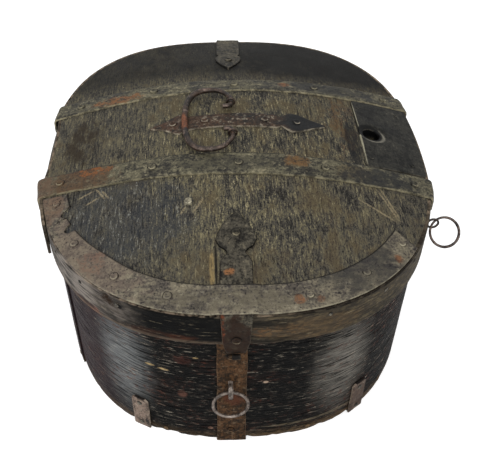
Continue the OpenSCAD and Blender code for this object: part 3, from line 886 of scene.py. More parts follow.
@dataclass(frozen=True)
class LidWood:
    """Weathered front-to-back softwood, pale in the middle and blue-black where it is stained.

    Attributes:
        ground: its middle tone.
        shade: its dark tone.
        olive: its light tone.
        scratch: colour of its pale fibres.
        bare: colour of freshly split wood.
    """

    ground: str = "#3d3a34"
    shade: str = "#161513"
    olive: str = "#5b5541"
    scratch: str = "#a89d7e"
    bare: str = "#7d6b47"

    def build(self) -> bpy.types.Material:
        """Make the material."""
        g = Graph("lid_wood")
        fine = g.noise((0.52, 0.08, 0.4), 1, 4, 0.7, 0.7)
        speck = g.noise((0.75, 0.5, 0.7), 5, 3, 0.65)
        lines = g.noise((0.5, 0.02, 0.3), 2, 3, 0.6, 0.3)
        hairs = g.noise((0.7, 0.024, 0.3), 6, 2, 0.5, 0.5)
        clouds = g.noise((0.018, 0.014, 0.02), 3, 4, 0.62)
        spots = g.noise((0.07, 0.035, 0.07), 4, 4, 0.65)
        middle = g.near((30, -50, 240), (150, 130, 60), 0.22, 5)
        stained = g.near((-115, -125, 225), (80, 62, 60), 0.3, 6)
        left = g.axis(0).step(40, -60)
        # The rear and the far right of the crown get painted shade: fewer pale fibres and a dark mottled
        # layer.
        rear = g.axis(1).step(88, 130)
        far = g.near((120, 160, 225), (120, 90, 60), 0.2, 7)
        value = fine * 0.65 + speck * 0.4 + spots * 0.25 + clouds * 0.35 - 0.325 + left * 0.03
        coat = Coat(g, self.shade)
        coat.over(self.ground, value.step(0.4, 0.49))
        coat.over(self.olive, value.step(0.49, 0.57) * (middle * 0.35 + 0.65))
        coat.over("#3b2e1e", clouds.step(0.48, 0.6) * spots.step(0.4, 0.6) * 0.5)
        coat.over("#14120f", spots.step(0.42, 0.3) * 0.5)
        coat.over("#23272c", stained * spots.step(0.32, 0.54) * 0.6)
        calm = g.near((108, -122, 235), (88, 74, 60), 0.25, 17)
        light = fine.step(0.57, 0.65) * speck.step(0.42, 0.56) * (1 - calm * 0.45)
        coat.over(self.scratch, light * (middle * 0.3 + 0.3) * (1 - rear * 0.5) * (1 - stained * 0.8))
        coat.over("#8b8d8c", light * stained * 0.5)
        scratched = g.near((-35, -130, 235), (62, 75, 60), 0.3, 16)
        coat.over("#958b69", hairs.step(0.61, 0.68) * speck.step(0.38, 0.54) * (scratched * 0.4 + 0.1))
        coat.over("#0c0b0a", lines.step(0.4, 0.31, 0.0, 0.85) * (1 - calm * 0.4))
        coat.over("#0c0b0a", speck.step(0.4, 0.3, 0.0, 0.8) * (1 - calm * 0.5))
        scratches = ((116.1, -103.8, 160.6, -132.9), (140.4, -85.2, 160.6, -132.9),
                     (144.9, -84.2, 161.3, -128.9), (-165.9, -88.1, -147.9, -79.1),
                     (-148.2, -76.2, -135.2, -96.5), (-157.6, -98.8, -140.9, -89.6),
                     (-141.5, -80.9, -131.2, -96.2), (-60.5, -128.8, -54.6, -118.5),
                     (-48.8, -128.7, -35.8, -107.6))
        for x0, y0, x1, y1 in scratches:
            mark = g.scratch((x0, y0), (x1, y1), 1.5) * (0.3 + speck.step(0.4, 0.52) * 0.7)
            coat.over("#8a7d62", mark * 0.6)
        rusty = g.near((118, 18, 240), (20, 60, 40), 0.4, 8) * spots.step(0.46, 0.6) * speck.step(0.4, 0.56)
        coat.over("#553d26", rusty * 0.6)
        stain = g.near((-166, 5, 225), (26, 46, 20), 0.3, 15) * spots.step(0.35, 0.55)
        coat.over("#1f170f", stain * 0.85)
        # Painted shadow: a dark blue-black band on the wood beside the coin plate's left edge.
        coin_edge_shadow = g.near((127, -14, 236), (9, 42, 20), 0.15, 11)
        coat.over("#0b0c0f", coin_edge_shadow * 0.75)
        # Painted shade: the rear and the far right of the crown darkened in mottled spots.
        coat.over("#0d0c0a", (rear * 0.9 + far * 0.3) * (0.3 + spots * 1.2))
        sliver = g.near((-31, -192, 225), (2.6, 22, 30), 0.12, 9)
        coat.over(self.bare, sliver * (0.25 + fine.step(0.4, 0.6) * 0.6))
        # Painted shadow: a black line along the right edge of the split, beside the pale sliver.
        beside = g.near((-27, -188, 225), (1.3, 28, 30), 0.1, 10)
        coat.over("#070706", beside * 0.85)
        # Painted shade: the coin hole's bore and the wood round its edge painted black.
        bore = g.near((152, 6, 236), (11.5, 11.5, 30), 0.0, 12, 0.2)
        coat.over("#010101", bore)
        rough = 0.62 + clouds * 0.2 - stained * 0.1
        height = fine * 0.5 + lines * 0.3 + speck * 0.5 + spots * 0.2
        return g.done(coat.colour, rough, height, 1.0, 0.0, 0.12)


@dataclass(frozen=True)
class WallWood:
    """Smoke-black bentwood with a painted sheen at the left and at the right, cracked along its grain and
    chipped.

    Attributes:
        black: its ground.
        brown: its warm clouds.
        grey: colour of the painted sheen at the left.
        bare: colour of its chips.
    """

    black: str = "#040404"
    brown: str = "#1d1411"
    grey: str = "#696b6b"
    bare: str = "#a08a63"

    def build(self) -> bpy.types.Material:
        """Make the material."""
        g = Graph("case_wood")
        grain = g.noise((0.07, 0.07, 0.85), 11, 4, 0.68, 0.2)
        cracks = g.noise((0.03, 0.03, 0.5), 12, 4, 0.65, 0.3)
        clouds = g.noise((0.014, 0.014, 0.03), 13, 3, 0.55)
        spots = g.noise((0.12, 0.12, 0.3), 14, 4, 0.68)
        left = g.axis(0).step(-105, -160)
        coat = Coat(g, self.black)
        coat.over(self.brown, clouds.step(0.46, 0.66) * 0.5)
        coat.over("#241b1e", left * 0.9)
        # Painted sheen: soft grey reflections painted on the wall at the left and at the right, broken up by
        # the grain.
        painted_sheen_left = g.near((-122, -203, 108), (38, 36, 100), 0.1, 3, 1.0)
        painted_sheen_right = g.near((100, -212, 105), (42, 32, 90), 0.1, 8, 1.0)
        streaky = 0.45 + grain.step(0.32, 0.62) * 0.55
        coat.over(self.grey, painted_sheen_left * 0.95 * streaky)
        coat.over("#6d6962", painted_sheen_right * streaky)
        flecks = grain.step(0.57, 0.69) * spots.step(0.44, 0.6)
        streaks = g.noise((0.045, 0.045, 0.75), 17, 4, 0.7, 0.3)
        front = g.axis(1).step(-60, -150)
        streaked = streaks.step(0.56, 0.68) * spots.step(0.4, 0.56)
        coat.over("#5f594f", streaked * (front * 0.6 + 0.15) * (1 - left * 0.6))
        coat.over("#43241a", spots.step(0.54, 0.66) * clouds.step(0.4, 0.56) * 0.85)
        coat.over("#a69d8d", flecks * (0.8 - left * 0.35))
        coat.over("#020202", cracks.step(0.47, 0.38, 0.0, 0.9) * (1 - left * 0.5))
        foot = g.axis(2).step(18, 1) * spots.step(0.36, 0.54)
        coat.over("#65523a", foot * (0.35 + front * g.axis(0).step(-60, 60) * 0.4))
        line = g.near((75, -212, 20), (75, 40, 2.6), 0.05, 7) * spots.step(0.3, 0.6)
        coat.over("#6e6350", line * 0.6)
        for chip in (Patch((-94.6, -219, 120), (5, 12, 1.6), self.bare),
                     Patch((-81.5, -224, 118), (6, 12, 1.7), self.bare),
                     Patch((-48.7, -231, 144), (3, 9, 1.2), self.bare),
                     Patch((-63.9, -229, 80), (5.5, 9, 6), "#4c332a", 1, 0.6),
                     Patch((-36, -233, 20), (3, 9, 2.4), "#7c6052"),
                     Patch((20.7, -234, 104), (3, 9, 2.2), "#94806e"),
                     Patch((-62, -230, 138), (10, 16, 6.5), "#3c211b", 0.6)):
            mark = g.near(chip.centre, chip.reach, 0.14, chip.centre[0] / 10)
            coat.over(chip.colour, mark * chip.strength * (0.3 + spots.step(0.4, 0.55) * 0.7))
        rough = 0.5 + clouds * 0.1 + cracks.step(0.45, 0.35) * 0.3
        height = grain * 0.6 + cracks.step(0.36, 0.5) * 0.7 + spots * 0.3
        return g.done(coat.colour, rough, height, 0.7, 0.0, 0.05)


@dataclass(frozen=True)
class HoopWood:
    """The lid's bent hoop: grey and pink at the left, black in the middle, brown at the right."""

    def build(self) -> bpy.types.Material:
        """Make the material."""
        g = Graph("hoop_wood")
        grain = g.noise((0.035, 0.035, 0.65), 21, 4, 0.65, 0.2)
        clouds = g.noise((0.02, 0.02, 0.06), 22, 3, 0.6)
        spots = g.noise((0.12, 0.12, 0.28), 23, 4, 0.65)
        x = g.axis(0)
        front = g.axis(1).step(-90, -150)
        coat = Coat(g, "#3a342b")
        coat.over("#544e49", x.step(-60, -110) * front * (0.4 + spots.step(0.4, 0.6) * 0.6))
        coat.over("#040404", g.near((-52, -222, 196), (60, 34, 60), 0.1, 12) * front)
        pale = g.near((-165, -168, 196), (34, 44, 30), 0.2, 14) * grain.step(0.36, 0.6)
        coat.over("#7a736c", pale * 0.8)
        red = g.near((-75, -222, 181), (42, 22, 6.5), 0.2, 2) * (0.25 + grain.step(0.4, 0.56) * 0.75)
        coat.over("#4c2b1c", red * 0.9)
        coat.over("#6b4438", g.near((-150, -186, 178), (22, 22, 6), 0.25, 4) * 0.75)
        coat.over("#5c3c22", g.near((30, -238, 192), (26, 22, 10), 0.4, 9) * spots.step(0.45, 0.6))
        coat.over("#5b513d", spots.step(0.48, 0.6) * x.step(0, 30) * 0.7)
        right = x.step(10, 60) * front
        brown = g.near((62, -232, 190), (52, 34, 18), 0.25, 10) * (0.4 + spots.step(0.4, 0.56) * 0.6)
        coat.over("#4f3f2c", brown * 0.6)
        coat.over("#0b0b0a", clouds.step(0.5, 0.4, 0.0, 0.75) * (1 - right * 0.45))
        coat.over("#8b8069", grain.step(0.57, 0.7) * spots.step(0.42, 0.62) * 0.6)
        coat.over("#050505", grain.step(0.47, 0.36, 0.0, 0.9) * (1 - right * 0.5))
        coat.over("#8a7a68", g.worn().step(0.45, 0.95) * spots.step(0.4, 0.62) * 0.6)
        worms = g.noise((0.5, 0.5, 0.5), 8, 2).step(0.42, 0.5)
        coat.over("#241a12", g.near((-129, -207, 205), (9, 9, 6.5), 0.35, 5) * (0.35 + worms * 0.65))
        lip = g.axis(2).step(181, 176.5) * front * g.axis(0).step(20, -10)
        coat.over("#54483c", lip * (0.4 + spots.step(0.35, 0.5) * 0.6) * 0.7)
        gap = g.axis(2).step(209.5, 212.5) * right * spots.step(0.4, 0.5)
        coat.over("#060505", gap * 0.9)
        # Painted shade: a small hole in the hoop painted black, with a bump that sinks it.
        hole = g.near((-117, -214, 204), (3.4, 3.4, 3.4), 0.02, 6)
        coat.over("#020202", hole)
        rough = 0.52 + clouds * 0.16
        height = grain * 0.6 + spots * 0.3 - hole * 1.2
        return g.done(coat.colour, rough, height, 0.7, 0.0, 0.05)


@dataclass(frozen=True)
class Iron:
    """Forged iron under old patina: dark skin, rust patches, hammer marks, and worn edges with painted
    highlights and painted shade.

    Attributes:
        name: the material's name.
        dark: colour of the skin's dark parts.
        light: colour of its light parts.
        rubbed_and_highlight: colour of its pale flecks and worn edges, and of the painted highlights on edges
            that face the light.
        rust: colour of its rust.
        rusting: how much rust it has, from 0 to 1.
        run: direction of its streaks.
        patches: extra coloured patches.
        seed: shift of its noises.
        shine: specular level.
        rough: mean roughness.
        deep: colour of its darkest flecks.
        mottled: how strongly it is mottled, from 0 to 1.
    """

    name: str
    dark: str
    light: str
    rubbed_and_highlight: str
    rust: str = "#5e3a22"
    rusting: float = 0.3
    run: Run = Run.ACROSS
    patches: tuple[Patch, ...] = ()
    seed: float = 1.0
    shine: float = 0.4
    rough: float = 0.52
    deep: str = "#0c0b0a"
    mottled: float = 0.45

    def build(self) -> bpy.types.Material:
        """Make the material."""
        g = Graph(self.name)
        slow = tuple(0.05 if d else 0.3 for d in self.run.value)
        streak = g.noise(slow, self.seed, 4, 0.65)
        clouds = g.noise((0.035, 0.035, 0.035), self.seed + 1, 4, 0.65)
        speck = g.noise((0.45, 0.45, 0.45), self.seed + 2, 3, 0.65)
        fleck = g.noise((0.13, 0.13, 0.13), self.seed + 3, 4, 0.7)
        worn = g.worn()
        value = clouds * 0.45 + fleck * 0.4 + speck * 0.4 + streak * 0.3 - 0.275
        coat = Coat(g, self.deep)
        coat.over(self.dark, value.step(0.36, 0.44))
        coat.over(self.light, value.step(0.44, 0.56))
        coat.over(self.rubbed_and_highlight, value.step(0.58, 0.68) * 0.6)
        mottle = g.noise((0.2, 0.2, 0.2), self.seed + 4, 4, 0.68)
        coat.over(self.rubbed_and_highlight, mottle.step(0.55, 0.66) * self.mottled)
        coat.over(self.deep, mottle.step(0.46, 0.36) * self.mottled)
        rusty = (fleck + clouds * 0.4).step(0.96 - self.rusting * 0.5, 1.1 - self.rusting * 0.5)
        coat.over(self.rust, rusty * 0.6)
        for patch in self.patches:
            broken = (fleck * 0.55 + speck * 0.45).step(0.45, 0.53) * (1 - patch.whole) + patch.whole
            mark = g.near(patch.centre, patch.reach, patch.ragged, patch.centre[0] / 20, patch.soft) * broken
            coat.over(patch.colour, mark * patch.strength)
        coat.over("#0a0908", speck.step(0.42, 0.3, 0.0, 0.75))
        # Painted highlight, with some worn paleness, on edges, rods and rivet domes that face the front, the
        # floor or the top.
        coat.over(self.rubbed_and_highlight, worn.step(0.55, 1.0) * (0.2 + fleck.step(0.42, 0.6) * 0.6))
        # Painted shade on edges that face the rear and round rivet seats.
        coat.over("#050404", worn.step(-0.3, -0.7) * 0.92)
        rough = self.rough + (clouds - 0.5) * 0.25 + rusty * 0.15
        metal = 0.3 - rusty * 0.25
        height = speck * 0.4 + fleck * 0.6 + rusty * 0.3
        return g.done(coat.colour, rough, height, 0.6, metal, self.shine)


@dataclass(frozen=True)
class PlainWood:
    """Rough wood out of sight: the base and the pegs.

    Attributes:
        name: the material's name.
        dark: its dark tone.
        light: its light tone.
    """

    name: str
    dark: str
    light: str

    def build(self) -> bpy.types.Material:
        """Make the material."""
        g = Graph(self.name)
        grain = g.noise((0.4, 0.02, 0.3), 31, 4, 0.6)
        clouds = g.noise((0.03, 0.02, 0.03), 32, 3, 0.6)
        coat = Coat(g, self.dark)
        coat.over(self.light, grain.step(0.38, 0.64) * 0.7 + clouds.step(0.35, 0.65) * 0.3)
        return g.done(coat.colour, 0.7 + clouds * 0.1, grain, 0.4, 0.0, 0.25)


class Finishes:
    """Every finish of the box, made once."""

    def __init__(self) -> None:
        """Make every material."""
        self.lid = LidWood().build()
        self.wall = WallWood().build()
        self.hoop = HoopWood().build()
        self.base = PlainWood("base_wood", "#2b2117", "#5b4730").build()
        self.pegs = PlainWood("peg_wood", "#3a2c1e", "#6b5539").build()
        band_rust = (
            Patch((-172, -60, 232), (48, 26, 26), "#493625", 0.85, 0.5),
            Patch((-158, -51, 240), (24, 10, 20), "#6b4223", 0.95, 0.15),
            Patch((-205, -62, 210), (14, 26, 30), "#544234", 0.8, 0.5),
            Patch((60, -62, 250), (13, 10, 20), "#5f4426", 0.8, 0.3),
            Patch((-136, 72, 240), (30, 9, 20), "#6b4526", 0.85),
            Patch((60, 82, 250), (7, 6, 14), "#6b4428", 0.8),
            Patch((120, -70, 240), (22, 12, 20), "#4b3f2a", 0.5),
            Patch((157, -76, 238), (52, 16, 24), "#14161a", 0.8, 0.6),
            Patch((128, 82, 240), (66, 12, 20), "#14161a", 0.7, 0.5),
            Patch((-10, -66, 250), (60, 10, 20), "#2f2d26", 0.5, 0.4))
        self.bands = Iron("band_iron", "#2a2823", "#545040", "#8f876e", "#4a3727", 0.22, Run.ACROSS,
                          band_rust, 2, 0.16, 0.56, "#191714").build()
        plate_rust = (
            Patch((-192, -92, 220), (12, 26, 16), "#5f4b3c", 0.75, 0.5),
            Patch((48, -225, 222), (6, 5, 10), "#6f4a30", 0.9, 0.4),
            Patch((68, -224, 222), (4, 4, 10), "#644630", 0.9, 0.3),
            Patch((149, -177, 218), (5, 5, 12), "#6f4a30", 0.9, 0.4),
            Patch((-150, -165, 222), (60, 80, 12), "#64574d", 0.5, 0.7),
            Patch((-144, -174, 222), (14, 14, 12), "#5f4438", 0.5),
            Patch((110, -190, 222), (60, 34, 12), "#1b1d20", 0.7, 0.45),
            Patch((-20, -224, 222), (90, 12, 12), "#3a362d", 0.5))
        self.plate = Iron("plate_iron", "#45403a", "#686152", "#928b77", "#554438", 0.2, Run.ACROSS,
                          plate_rust, 5, 0.14, 0.6, "#242120", 0.3).build()
        # Coin plate: a painted highlight along its left edge, a painted highlight on the dish's rim at the
        # lower right, and painted shade over the rest of the dish round the hole.
        self.coin = Iron("coin_plate_iron", "#171715", "#2b2a26", "#57534a", "#2a241b", 0.15, Run.DEEP,
                         (Patch((137.9, 6, 240), (1.5, 66, 20), "#8f8a76", 1.0, 0.8, 0.1),
                          Patch((154.6, 3.6, 238), (15, 14.4, 20), "#7a766a", 0.75, 0.75, 0.05, 0.12),
                          Patch((152.2, 6, 238), (14.6, 14.2, 20), "#131312", 1.0, 1.0, 0.05, 0.14)),
                         9, 0.12, 0.6, mottled=0.1).build()
        strap_rust = (Patch((-13, -238, 80), (15, 12, 11), "#4b2a1d", 0.8, 0.6),)
        self.straps = Iron("strap_iron", "#2b1f14", "#4c3521", "#7a6650", "#54331c", 0.3, Run.UP,
                           strap_rust, 12, 0.1, 0.68).build()
        hasp_rust = (Patch((-15.6, -196.5, 228), (6, 4, 12), "#7a5232", 0.9, 0.4),
                     Patch((-23, -240, 196), (3, 14, 24), "#6e3418", 0.9),
                     Patch((-10, -240, 183), (22, 12, 34), "#24150c", 0.92, 0.75),
                     Patch((-10, -242, 160), (14, 10, 7), "#0d0b0a", 0.95, 0.9))
        self.hasp = Iron("hasp_iron", "#23211c", "#444037", "#7d745f", "#4b3626", 0.2, Run.DEEP,
                         hasp_rust, 15, 0.12, 0.62, mottled=0.3).build()
        plate_marks = (Patch((76, 2, 250), (29, 24, 20), "#0d0f11", 0.97, 1.0, 0.1),
                       Patch((-72, 0, 250), (18, 16, 20), "#3d281c", 0.6))
        self.handle_plate = Iron("handle_plate_iron", "#1f1711", "#3b2b1f", "#99907e", "#3d261a", 0.35,
                                 Run.ACROSS, plate_marks, 18, 0.18, 0.56).build()
        self.handle = Iron("handle_iron", "#1a130e", "#34261d", "#857469", "#4b2f1e", 0.3, Run.DEEP,
                           (Patch((-59, -3, 260), (9, 15, 10), "#6b3a1c", 0.9, 0.4),), 21, 0.25, 0.48).build()
        self.worn = Iron("worn_iron", "#3a322c", "#6d625a", "#a0968c", "#533d2e", 0.2, Run.UP, (), 24,
                         0.3, 0.45).build()
        self.wire = Iron("dark_iron", "#1c1613", "#3a2f29", "#7b6a60", "#3d2518", 0.25, Run.UP, (), 27,
                         0.25, 0.5).build()
        clip_marks = (Patch((110, -200, 25), (60, 60, 40), "#35231a", 0.8, 0.5),)
        self.clips = Iron("clip_iron", "#574a41", "#7d6c60", "#a39686", "#5d4232", 0.2, Run.UP,
                          clip_marks, 30, 0.14, 0.6).build()
        self.bright = Iron("pale_nail", "#5c5749", "#837d6a", "#aaa38c", "#554533", 0.1, Run.UP, (), 33,
                           0.25, 0.5).build()
        self.nails = Iron("nail_iron", "#211f1b", "#4a463e", "#857d6d", "#4d3824", 0.2, Run.UP, (), 36,
                          0.25, 0.5).build()


# ---------------------------------------------------------------- sub-assemblies


@dataclass
class Case:
    """The bentwood case: its wall, base and pegs.

    Attributes:
        finishes: the finishes.
        oval: the wall's outer plan.
        wall: the wall's thickness.
        top: height of its top.
        lap: angle at which its outer layer ends.
        lap_fades: angle at which that layer's step has faded.
        step: thickness of that layer's end.
    """

    finishes: Finishes
    oval: Oval = field(init=False)
    wall: float = 6.5
    top: float = field(init=False)
    lap: float = 208.0
    lap_fades: float = 245.0
    step: float = 2.0

    def __post_init__(self) -> None:
        """Take the sizes from the frame."""
        _, high = box_mm("side_wall")
        self.oval = Oval(high[0], high[1])
        self.top = high[2]

    def _face(self, degrees: Array, heights: Array) -> Array:
        """Give the outer face with its lap, cracks and eroded foot.

        Args:
            degrees: angles of the grid's rows.
            heights: heights of the grid's columns.

        Returns:
            The grid of points.
        """
        turn, high = np.meshgrid(degrees, heights, indexing="ij")
        fading = self.step * (self.lap_fades - turn) / (self.lap_fades - self.lap)
        dip = np.where((turn > self.lap) & (turn < self.lap_fades), fading, 0)
        points = self.oval.rim_at(turn, high)
        sunk = 0.12 + 0.2 * Ripple(41, 60, 10, (3, 3, 1)).at(points) ** 2
        crack = Ripple(42, 6, 16, (14, 14, 1)).at(points)
        sunk += 0.4 * smooth(crack, 0.9, 1.5)
        chew = Ripple(43, 38, 9).at(points * np.array([1, 1, 0.0])) * 0.6
        chew = np.clip(chew + Ripple(44, 9).at(points) * 0.3 + 0.3, 0, 1) ** 2
        foot = smooth(high, 6, 0)
        sunk += foot * (0.5 + 1.2 * chew)
        raised = chew * 1.5 * smooth(high, 8, 0)
        return self.oval.rim_at(turn, high + raised, -dip - sunk)

    def build_wall(self) -> None:
        """Build the wall with its lap at the left and its chewed bottom edge."""
        degrees = np.arange(0, 360, 0.5)
        degrees = np.sort(np.concatenate([degrees, [self.lap + 0.02, self.lap + 0.12]]))
        heights = np.concatenate([np.linspace(0, 9, 8), np.linspace(12, self.top - 3, 66),
                                  [self.top - 1, self.top]])
        outer = self._face(degrees, heights)
        double = np.where((degrees > 180) & (degrees <= self.lap),
                          self.step * np.minimum(1, (degrees - 180) / 20), 0)
        turn, high = np.meshgrid(degrees, heights, indexing="ij")
        inner = self.oval.rim_at(turn, high, -self.wall - double[:, None])
        wear_and_light = np.exp(-np.minimum(outer[..., 2], self.top - outer[..., 2]) / 3)
        piece = Piece("bent_wall", Body.CASE, ("side_wall",))
        piece.solid(outer, inner, wear_and_light, True)
        piece.make(self.finishes.wall, 50)

    def dress_hidden(self) -> None:
        """Dress the base and the pegs, whose frame nodes stay."""
        dress("base_board", self.finishes.base)
        dress("wall_pegs", self.finishes.pegs)

    def build(self) -> None:
        """Build the case."""
        self.build_wall()
        self.dress_hidden()


def dress(node: str, material: bpy.types.Material) -> None:
    """Give a frame node a finish.

    Args:
        node: the node's name.
        material: its finish.
    """
    thing = frame["nodes"][node]
    thing.data.materials.clear()
    thing.data.materials.append(material)
    log.info("dressed frame node %s with %s", node, material.name)


@dataclass
class CaseIron:
    """Straps, clips, staple and their fasteners on the case.

    Attributes:
        finishes: the finishes.
        oval: the wall's outer plan.
        thick: thickness of the iron.
        width: width of the straps.
        clip_width: width of the foot clips.
        rivet: diameter of the straps' rivet heads.
        nail: diameter of the clips' nail heads.
        rear_rivet_z: height of the rear strap's middle rivet.
        clip_angles: where the foot clips sit.
        clip_names: their names, in the same order.
    """

    finishes: Finishes
    oval: Oval
    thick: float = 2.2
    width: float = 30.0
    clip_width: float = 20.0
    rivet: float = 7.2
    nail: float = 5.2
    rear_rivet_z: float = 81.0
    clip_angles: tuple[float, ...] = (242, 304, 56, 124)
    clip_names: tuple[str, ...] = ("front_left", "front_right", "rear_right", "rear_left")

    def build_front_strap(self) -> None:
        """Build the strap down the front, flared at its foot, with its rivets."""
        low, high = box_mm("front_strap")
        middle = (low[0] + high[0]) / 2
        heights = np.concatenate([np.linspace(high[2], 8, 70), [5, 2.6, 0.9, 0.3]])
        across = dense_ends(19)
        half = self.width / 2 + Ripple(51, 26).at(along_x(heights)) * 0.4
        half = half + smooth(heights, 14, 0) * 1.0
        x = middle - np.outer(half, -across)
        y = self.oval.end_y(x, -1) - (smooth(heights, 26, 0) * 1.1)[:, None]
        grid = np.stack([x, y, np.broadcast_to(heights[:, None], x.shape)], -1)
        piece = Piece("front_strap_iron", Body.CASE, ("front_strap",))
        piece.plate(grid, self.thick, 52, 0.3)
        foot_y = np.array([0.0, -6, -14, -22])
        under_x = middle + np.outer(np.full(4, self.width / 2), across)
        under = np.stack([under_x, self.oval.end_y(under_x, -1) - foot_y[:, None],
                          np.full(under_x.shape, self.thick + 0.12)], -1)
        piece.plate(under, self.thick * 0.9, 53, 0.05)
        piece.make(self.finishes.straps)
        rivets = Piece("front_strap_rivet_heads", Body.CASE, ("front_strap_rivets",))
        for i, z in enumerate((high[2] - 21, 22.0)):
            seat = np.array([middle - 1, self.oval.end_y(middle, -1) - self.thick - SEAT, z])
            rivets.head(seat, FRONT, self.rivet, 60 + i, 0.2)
        rivets.make(self.finishes.straps)

    def build_staple(self) -> None:
        """Build the staple as one bent, flattened wire."""
        low, high = box_mm("front_staple")
        middle = (low[0] + high[0]) / 2
        out, root = low[1] + 1.9, low[1] + 14
        z0, z1 = low[2] + 1.9, high[2] - 1.9
        bends = [(root, z0), (out + 5, z0), (out + 1.6, z0 + 0.6), (out, z0 + 3.2), (out, (z0 + z1) / 2),
                 (out + 0.3, z1 - 3.6), (out + 2.4, z1 - 0.5), (out + 6, z1), (root, z1)]
        path = curve_through([(middle, y, z) for y, z in bends], 7)
        piece = Piece("front_staple_wire", Body.CASE, ("front_staple",))
        piece.rod(path, np.full(len(path), 1.75), (1, 0, 0), 14, 1.4, 71, 0.08)
        piece.make(self.finishes.worn, 60)

    def build_clips(self) -> None:
        """Build the four nailed foot clips with clipped top corners."""
        nails = Piece("foot_clip_nail_heads", Body.CASE, ("foot_clip_nails",))
        for i, (turn, name) in enumerate(zip(self.clip_angles, self.clip_names)):
            node = f"foot_clip_{name}"
            _, high = box_mm(node)
            normal = self.oval.rim_normal(turn)
            along = np.array([-normal[1], normal[0], 0])
            middle = np.append(self.oval.rim(turn), 0.0) + normal * 0.35
            top = high[2]
            heights = np.concatenate([[0.2, 0.8, 2], np.linspace(4, top - 6, 16),
                                      np.linspace(top - 5, top, 9)])
            half = np.full(len(heights), self.clip_width / 2) - smooth(heights, top - 5, top) ** 2 * 4.0
            half = half + Ripple(80 + i, 17).at(along_x(heights)) * 0.3
            spread = np.outer(half, dense_ends(13))
            grid = middle + spread[..., None] * along + heights[:, None, None] * np.array([0, 0, 1.0])
            piece = Piece(f"{node}_iron", Body.CASE, (node,))
            piece.plate(grid[:, ::-1], self.thick, 82 + i, 0.2)
            foot = np.linspace(1.5, -22, 6)
            under = (middle + np.array([0, 0, self.thick + 0.05]) + foot[:, None, None] * normal
                     + (dense_ends(9) * self.clip_width / 2)[None, :, None] * along)
            piece.plate(under, self.thick * 0.9, 84 + i, 0.05)
            piece.make(self.finishes.clips)
            for k, z in enumerate((8.0, top - 9)):
                seat = middle + normal * (self.thick + SEAT) + np.array([0, 0, z])
                nails.head(seat, normal, self.nail, 90 + i * 2 + k)
        nails.make(self.finishes.nails)

    def build_rear(self) -> None:
        """Dress the rear strap and the pin, whose frame nodes stay, and build the strap's rivet heads."""
        dress("rear_strap", self.finishes.straps)
        dress("hinge_pin", self.finishes.nails)
        rivets = Piece("rear_strap_rivet_heads", Body.CASE, ("rear_strap_rivets",))
        low, high = box_mm("rear_strap_rivets")
        middle = (low[0] + high[0]) / 2
        span = low[2] + 3.2, high[2] - 3.2
        seat_y = self.oval.end_y(middle, 1) + self.thick + 0.15
        for i, z in enumerate((span[0], self.rear_rivet_z, span[1])):
            rivets.head(np.array([middle, seat_y, z]), BACK, self.rivet, 100 + i)
        rivets.make(self.finishes.nails)

    def build(self) -> None:
        """Build all the iron on the case."""
        self.build_front_strap()
        self.build_staple()
        self.build_clips()
        self.build_rear()


